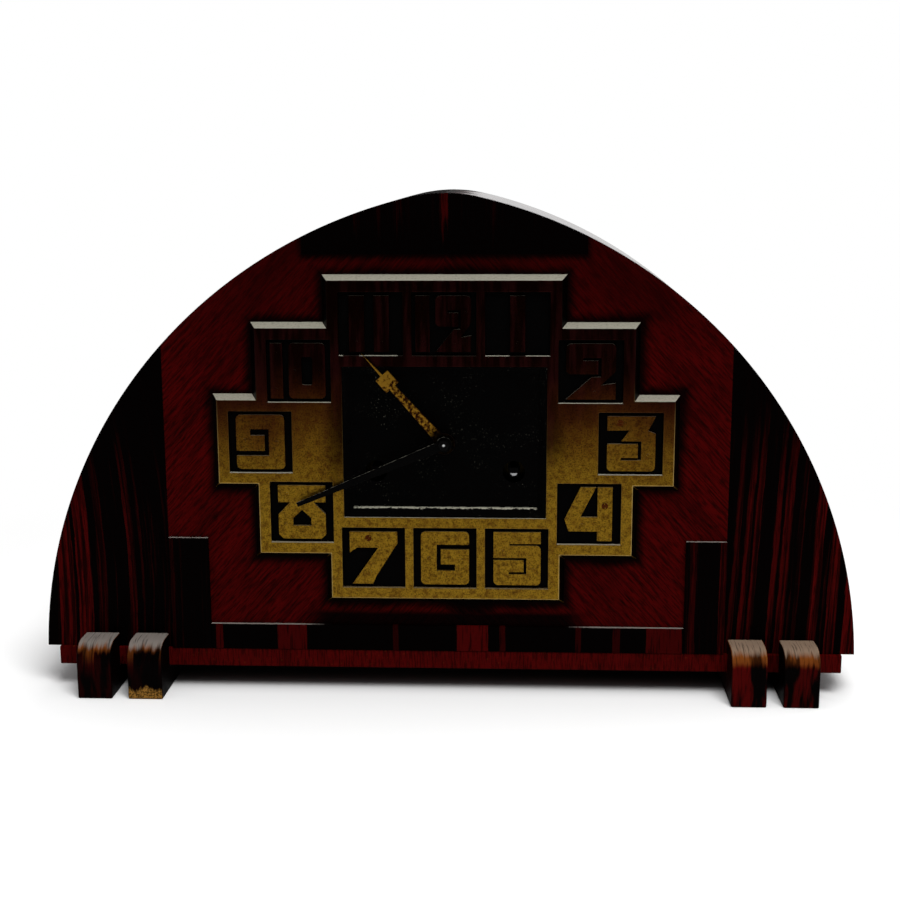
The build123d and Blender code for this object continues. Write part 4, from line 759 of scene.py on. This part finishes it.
def eased(node, width, finish, spared=(), spared_reach=0.0, segments=2, shape=None):
    """A copy of a node with softened edges, sparing those near given places on the front."""
    form = bmesh.new()
    form.from_mesh(frame["nodes"][node].data)
    bmesh.ops.remove_doubles(form, verts=form.verts, dist=weld_reach)
    bmesh.ops.dissolve_limit(form, angle_limit=flat_angle, verts=form.verts, edges=form.edges)
    if shape:
        shape(form)

    def soft(edge):
        if len(edge.link_faces) != 2 or edge.calc_face_angle(0.0) < soft_angle:
            return False
        middle = (edge.verts[0].co + edge.verts[1].co) / 2
        return all((middle.x - x) ** 2 + (middle.z - z) ** 2 > spared_reach**2 for x, z in spared)

    if width:
        edges = [edge for edge in form.edges if soft(edge)]
        bmesh.ops.bevel(
            form, geom=edges, offset=width, offset_type="OFFSET", segments=segments, profile=0.5,
            affect="EDGES", clamp_overlap=True,
        )
    name = f"{node}_finished"
    mesh = bpy.data.meshes.new(name)
    form.to_mesh(mesh)
    form.free()
    if "custom_normal" in mesh.attributes:
        mesh.attributes.remove(mesh.attributes["custom_normal"])
    mesh.shade_smooth()
    mesh.set_sharp_from_angle(angle=sharp_angle)
    holder = bpy.data.objects.new(name, mesh)
    bpy.context.scene.collection.objects.link(holder)
    weighing = holder.modifiers.new("weighing", "WEIGHTED_NORMAL")
    weighing.keep_sharp = True
    weighing.weight = 90
    return settle(name, made_plain(name, holder), node, finish)


def pin_heads():
    """Front middles of the dial pins."""
    form = bmesh.new()
    form.from_mesh(frame["nodes"]["dial_pins"].data)
    bmesh.ops.remove_doubles(form, verts=form.verts, dist=weld_reach)
    left = set(form.verts)
    heads = []
    while left:
        group, queue = set(), [left.pop()]
        while queue:
            vert = queue.pop()
            group.add(vert)
            for edge in vert.link_edges:
                other = edge.other_vert(vert)
                if other in left:
                    left.discard(other)
                    queue.append(other)
        xs, ys, zs = zip(*(vert.co for vert in group))
        heads.append(Vector(((min(xs) + max(xs)) / 2, min(ys), (min(zs) + max(zs)) / 2)))
    form.free()
    return sorted(heads, key=lambda head: (head.z, head.x))


def screw_tree(name, finish):
    """Geometry nodes that set a small slotted screw on every point."""
    tree = bpy.data.node_groups.new(name, "GeometryNodeTree")
    face = tree.interface
    face.new_socket("Geometry", in_out="INPUT", socket_type="NodeSocketGeometry")
    for label in ("Radius", "Length", "Slot"):
        face.new_socket(label, in_out="INPUT", socket_type="NodeSocketFloat")
    face.new_socket("Geometry", in_out="OUTPUT", socket_type="NodeSocketGeometry")
    given = put(tree, "NodeGroupInput").outputs
    shank = put(tree, "GeometryNodeMeshCylinder", {
        "Vertices": 20, "Radius": given["Radius"], "Depth": given["Length"],
    })
    cut = put(tree, "GeometryNodeMeshCube", {
        "Size": joined(tree, times(tree, given["Radius"], 3.0), given["Slot"], given["Slot"]),
    })
    top = put(tree, "GeometryNodeTransform", {
        "Geometry": cut.outputs[0],
        "Translation": joined(tree, 0.0, 0.0, times(tree, given["Length"], 0.5)),
    })
    slotted = put(
        tree, "GeometryNodeMeshBoolean", {"Mesh 1": shank.outputs[0], "Mesh 2": top.outputs[0]},
        operation="DIFFERENCE",
    )
    turned = put(tree, "GeometryNodeTransform", {
        "Geometry": slotted.outputs[0], "Rotation": (pi / 2, 0.0, 0.0),
    })
    spin = put(tree, "FunctionNodeRandomValue", {2: 0.0, 3: pi, "Seed": 7}, data_type="FLOAT").outputs[1]
    placed = put(tree, "GeometryNodeInstanceOnPoints", {
        "Points": given["Geometry"], "Instance": turned.outputs[0], "Rotation": joined(tree, 0.0, spin, 0.0),
    })
    solid = put(tree, "GeometryNodeRealizeInstances", {0: placed.outputs[0]})
    shown = put(tree, "GeometryNodeSetMaterial", {"Geometry": solid.outputs[0], "Material": finish})
    out = put(tree, "NodeGroupOutput")
    tree.links.new(shown.outputs[0], out.inputs[0])
    return tree


def grown(name, points, tree, **values):
    """Plain mesh that a node tree makes from points."""
    seeds = bpy.data.meshes.new(f"{name}_points")
    seeds.from_pydata([tuple(point) for point in points], [], [])
    holder = bpy.data.objects.new(f"{name}_points", seeds)
    bpy.context.scene.collection.objects.link(holder)
    modifier = holder.modifiers.new("screws", "NODES")
    modifier.node_group = tree
    for item in tree.interface.items_tree:
        if item.in_out == "INPUT" and item.name in values:
            modifier[item.identifier] = values[item.name]
    return made_plain(name, holder)


class ClockStep:
    """What the operators of the clock share."""

    bl_options = {"REGISTER"}

    @property
    def sizes(self):
        """Sizes that the scene holds."""
        return bpy.context.scene.clock_sizes

    @property
    def colours(self):
        """Colours that the scene holds."""
        return bpy.context.scene.clock_colours


class CLOCK_OT_case(ClockStep, bpy.types.Operator):
    """Veneers the front and polishes the arched case"""

    bl_idname = "clock.case"
    bl_label = "Case and veneers"

    def execute(self, context):
        colours, sizes = self.colours, self.sizes
        paint(red_field(colours), "field_veneer_left", "field_veneer_right")
        left = striped("side_veneer_left", colours, left_stripes, bow=0.85, fade=(0.085, 0.15))
        paint(left, "side_veneer_left")
        right = striped("side_veneer_right", colours, right_stripes, lean=0.045, fade=(0.1, 0.165), seed=5.0)
        paint(right, "side_veneer_right")
        top = striped("crown_veneer", colours, crown_stripes, foot=(0.25, 0.268), seed=11.0, faint=0.02)
        eased("crown_veneer", 0.0, top, shape=softened_point)
        polished = case_wood("polished_case", colours, gloss=0.15)
        rubbed = case_wood("rubbed_case", colours, gloss=0.02)
        for node, finish in (("arch_left", rubbed), ("arch_right", polished), ("front_board", rubbed)):
            eased(node, 0.0, finish, shape=softened_point)
        plain = bare_wood(colours)
        paint(plain, "case_floor")
        for node in ("back_panel", "back_door"):
            eased(node, sizes.wood_ease, plain)
        return {"FINISHED"}


class CLOCK_OT_base(ClockStep, bpy.types.Operator):
    """Finishes the plinth, its feet, the rail and the posts"""

    bl_idname = "clock.base"
    bl_label = "Plinth, feet and rail"

    def execute(self, context):
        colours, sizes = self.colours, self.sizes
        eased("plinth_board", sizes.wood_ease, plinth_wood(colours))
        eased("upper_rail", sizes.wood_ease * 0.5, rail_wood(colours))
        for node, spans in post_stripes.items():
            # The posts get a painted highlight on top
            wood = striped(node, colours, spans, worn=1.0, seed=23.0, faint=0.06)
            eased(node, sizes.wood_ease * 0.5, wood)
        # Colours of the painted highlight on the tops of the feet
        grey, tan = colours.highlight_wood, colours.foot_top_highlight
        feet = {
            "foot_outer_left": {"pale": grey, "redness": 0.16, "turn": 0.4, "streaks": outer_runs},
            "foot_inner_left": {
                "pale": grey, "redness": 0.06, "turn": 0.46, "streaks": inner_runs, "chip": 0.0095,
            },
            "foot_inner_right": {"pale": tan, "redness": 0.95, "turn": 0.1},
            "foot_outer_right": {"pale": tan, "redness": 0.66, "turn": 0.1},
        }
        for node, looks in feet.items():
            eased(node, sizes.wood_ease * 1.5, foot_wood(node, colours, **looks), segments=3)
        return {"FINISHED"}


class CLOCK_OT_dial(ClockStep, bpy.types.Operator):
    """Finishes the dial frame, its ground, the numerals, their screws and the tray"""

    bl_idname = "clock.dial"
    bl_label = "Dial and numerals"

    def execute(self, context):
        colours, sizes = self.colours, self.sizes
        brass = dial_brass("dial_brass", colours, rise=0.0, pale=1.0, framing=True)
        number_brass = dial_brass("number_brass", colours, rise=0.004, pale=0.35, framing=False)
        heads = pin_heads()
        spots = [(head.x, head.z) for head in heads]
        eased("dial_frame", sizes.brass_ease, brass)
        eased("numerals", sizes.numeral_ease, number_brass, spots, sizes.rivet_radius * 1.4)
        paint(black_ground(colours), "dial_ground")
        black = tray_black(colours)
        eased("centre_tray", sizes.brass_ease, black, spots, sizes.rivet_radius * 1.6)
        groups = {"dial_screws": [], "dial_rivets": [], "tray_rivets": []}
        for head in heads:
            if any(abs(head.x - x) + abs(head.z - z) < same_place for x, z in screw_places):
                groups["dial_screws"].append(head)
            elif abs(head.z - dial_middle.z) < same_place and abs(head.x) < tray_high.x:
                groups["tray_rivets"].append(head)
            else:
                groups["dial_rivets"].append(head)
        browned = machined("screw_brown", colours.brass_brown, darker=0.3)
        looks = {
            "dial_screws": (browned, sizes.screw_radius, screw_length, screw_slot),
            "dial_rivets": (number_brass, sizes.rivet_radius, rivet_length, rivet_slot),
            "tray_rivets": (black, sizes.rivet_radius, rivet_length, rivet_slot),
        }
        for name, points in groups.items():
            finish, radius, length, slot = looks[name]
            middles = [point + Vector((0.0, length / 2, 0.0)) for point in points]
            mesh = grown(name, middles, screw_tree(name, finish), Radius=radius, Length=length, Slot=slot)
            settle(name, mesh, "dial_pins", finish)
        return {"FINISHED"}


class CLOCK_OT_hands(ClockStep, bpy.types.Operator):
    """Finishes the hands and the nut that holds them"""

    bl_idname = "clock.hands"
    bl_label = "Hands"

    def execute(self, context):
        colours, sizes = self.colours, self.sizes
        eased("hour_hand", sizes.hand_ease * 2.0, hour_brass(colours))
        eased("minute_hand", sizes.hand_ease, hand_black(colours))
        eased("hand_nut", sizes.hand_ease, nut_metal(colours))
        return {"FINISHED"}


class CLOCK_OT_movement(ClockStep, bpy.types.Operator):
    """Finishes the movement, the gong and the hardware of the back"""

    bl_idname = "clock.movement"
    bl_label = "Movement and back"

    def execute(self, context):
        colours = self.colours
        brass = machined("gear_brass", colours.gear_brass, darker=0.45)
        steel = machined("polished_steel", colours.steel, darker=0.4)
        iron = machined("gong_iron", (0.06, 0.06, 0.065), darker=0.5)
        finishes = {"movement_brass": brass, "movement_steel": steel, "gong_iron": iron}
        for part in frame["record"]["subparts"]:
            if part["material_slot"] in finishes:
                paint(finishes[part["material_slot"]], part["node"])
        # The front plate's front face gets painted shade
        paint(machined("front_shaded_plate", colours.gear_brass, darker=0.45, front_shade=1.0), "front_plate")
        for node in ("going_arbor", "strike_arbor"):
            paint(winding_steel(colours, sum(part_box(node), Vector()) / 2), node)
        for node in ("door_knob", "pendulum"):
            eased(node, 0.0, brass)
        return {"FINISHED"}


class CLOCK_OT_stage(ClockStep, bpy.types.Operator):
    """Sets the floor, the light and the camera"""

    bl_idname = "clock.stage"
    bl_label = "Stage"

    def execute(self, context):
        scene = context.scene
        scene.view_settings.view_transform = "Standard"
        lay_floor(scene)
        light_world(scene)
        hang_lamps(scene)
        aim_camera(scene)
        return {"FINISHED"}


def lay_floor(scene):
    """Pale floor with painted shadow under the clock, that ends before it and fades to white around it."""
    side, near, far_end = 4.0, -1.25, 5.0
    corners = [(-side, near, 0), (side, near, 0), (side, far_end, 0), (-side, far_end, 0)]
    footprint_half, footprint_middle = (0.205, 0.053), 0.008
    mesh = bpy.data.meshes.new("floor")
    mesh.from_pydata(corners, [], [(0, 1, 2, 3)])
    floor = bpy.data.objects.new("floor", mesh)
    scene.collection.objects.link(floor)
    finish = bpy.data.materials.new("floor_paper")
    finish.use_nodes = True
    tree = finish.node_tree
    tree.nodes.clear()
    spot = place(tree)
    x, y, _ = axes(tree, spot)
    far = length_of(tree, spot)
    # Painted shadow over the clock's footprint
    beside = minus(tree, calc(tree, "ABSOLUTE", x), footprint_half[0])
    before = minus(tree, calc(tree, "ABSOLUTE", minus(tree, y, footprint_middle)), footprint_half[1])
    open_floor = spread(tree, calc(tree, "MAXIMUM", beside, before), -0.03, 0.012)
    shade = mixed(tree, open_floor, (0.1, 0.1, 0.1), (0.93, 0.93, 0.93))
    seen = put(tree, "ShaderNodeLightPath").outputs["Is Camera Ray"]
    white = times(tree, spread(tree, far, 0.28, 0.55), seen)
    paper = put(tree, "ShaderNodeBsdfDiffuse", {"Color": shade})
    glow = put(tree, "ShaderNodeEmission", {"Color": (1.0, 1.0, 1.0, 1.0), "Strength": 1.0})
    blend = put(tree, "ShaderNodeMixShader", {0: white, 1: paper.outputs[0], 2: glow.outputs[0]})
    out = put(tree, "ShaderNodeOutputMaterial")
    tree.links.new(blend.outputs[0], out.inputs[0])
    mesh.materials.append(finish)


def light_world(scene):
    """White room that is dim in front of the clock, beyond the table."""
    world = bpy.data.worlds.new("studio")
    scene.world = world
    world.use_nodes = True
    tree = world.node_tree
    tree.nodes.clear()
    ray = put(tree, "ShaderNodeLightPath").outputs
    _, y, z = axes(tree, put(tree, "ShaderNodeTexCoord").outputs["Generated"])
    behind = spread(tree, y, -0.75, -0.15)
    above = spread(tree, z, 0.3, 0.75)
    room = calc(tree, "MAXIMUM", behind, above)
    shade = mixed(tree, room, (0.05, 0.045, 0.045), (1.0, 1.0, 1.0))
    seen = calc(tree, "MAXIMUM", ray["Is Camera Ray"], ray["Is Transmission Ray"])
    seen = calc(tree, "MAXIMUM", seen, times(tree, ray["Is Glossy Ray"], room))
    lit = put(tree, "ShaderNodeBackground", {"Color": shade, "Strength": 0.42})
    plain = put(tree, "ShaderNodeBackground", {"Color": (1.0, 1.0, 1.0, 1.0), "Strength": 1.0})
    blend = put(tree, "ShaderNodeMixShader", {0: seen, 1: lit.outputs[0], 2: plain.outputs[0]})
    out = put(tree, "ShaderNodeOutputWorld")
    tree.links.new(blend.outputs[0], out.inputs[0])


def hang_lamps(scene):
    """Two wide soft lamps above the clock, one before it and one over it."""
    clock_middle = 0.12
    for name, spot, power, width in (
        ("key", (0.3, -0.75, 1.35), 19.0, 0.7),
        ("top", (0.1, 0.25, 1.5), 8.0, 1.0),
    ):
        lamp = bpy.data.lights.new(name, "AREA")
        lamp.energy = power
        lamp.size = width
        holder = bpy.data.objects.new(name, lamp)
        scene.collection.objects.link(holder)
        holder.visible_glossy = False
        holder.location = spot
        aim = Vector((0.0, 0.0, clock_middle)) - Vector(spot)
        holder.rotation_euler = aim.to_track_quat("-Z", "Y").to_euler()


def aim_camera(scene):
    """Camera in front of the clock, a little above it and to its right."""
    yaw, pitch, roll = radians(-2.82), radians(-11.32), radians(-0.24)
    spot = Vector((0.04025, front_plane - 0.76068, 0.28984))
    focal_pixels, picture_pixels = 1428.67, 900.0
    ahead = Vector((sin(yaw) * cos(pitch), cos(yaw) * cos(pitch), sin(pitch)))
    right = Vector((cos(yaw), -sin(yaw), 0.0))
    up = right.cross(ahead)
    level = right * cos(roll) + up * sin(roll)
    upward = up * cos(roll) - right * sin(roll)
    camera = bpy.data.cameras.new("camera")
    camera.sensor_width = 36.0
    camera.lens = focal_pixels / picture_pixels * camera.sensor_width
    holder = bpy.data.objects.new("camera", camera)
    scene.collection.objects.link(holder)
    turn = Matrix((level, upward, -ahead)).transposed().to_4x4()
    holder.matrix_world = Matrix.Translation(spot) @ turn
    scene.camera = holder


class CLOCK_PT_panel(bpy.types.Panel):
    """Sidebar panel of the clock."""

    bl_label = "Arched Shelf Clock"
    bl_idname = "CLOCK_PT_panel"
    bl_space_type = "VIEW_3D"
    bl_region_type = "UI"
    bl_category = "Clock"

    def draw(self, context):
        for group in (context.scene.clock_sizes, context.scene.clock_colours):
            box = self.layout.box()
            for name in group.__annotations__:
                box.prop(group, name)
        for step in steps:
            self.layout.operator(step.bl_idname)


steps = (CLOCK_OT_case, CLOCK_OT_base, CLOCK_OT_dial, CLOCK_OT_hands, CLOCK_OT_movement, CLOCK_OT_stage)
classes = (ClockSizes, ClockColours, *steps, CLOCK_PT_panel)


def register():
    """Adds the clock's classes and settings."""
    for kind in classes:
        bpy.utils.register_class(kind)
    bpy.types.Scene.clock_sizes = PointerProperty(type=ClockSizes)
    bpy.types.Scene.clock_colours = PointerProperty(type=ClockColours)


def unregister():
    """Removes the clock's classes and settings."""
    del bpy.types.Scene.clock_colours
    del bpy.types.Scene.clock_sizes
    for kind in reversed(classes):
        bpy.utils.unregister_class(kind)


def main():
    """Finishes the whole clock."""
    register()
    bpy.ops.clock.case()
    bpy.ops.clock.base()
    bpy.ops.clock.dial()
    bpy.ops.clock.hands()
    bpy.ops.clock.movement()
    bpy.ops.clock.stage()


if __name__ == "__main__":
    main()
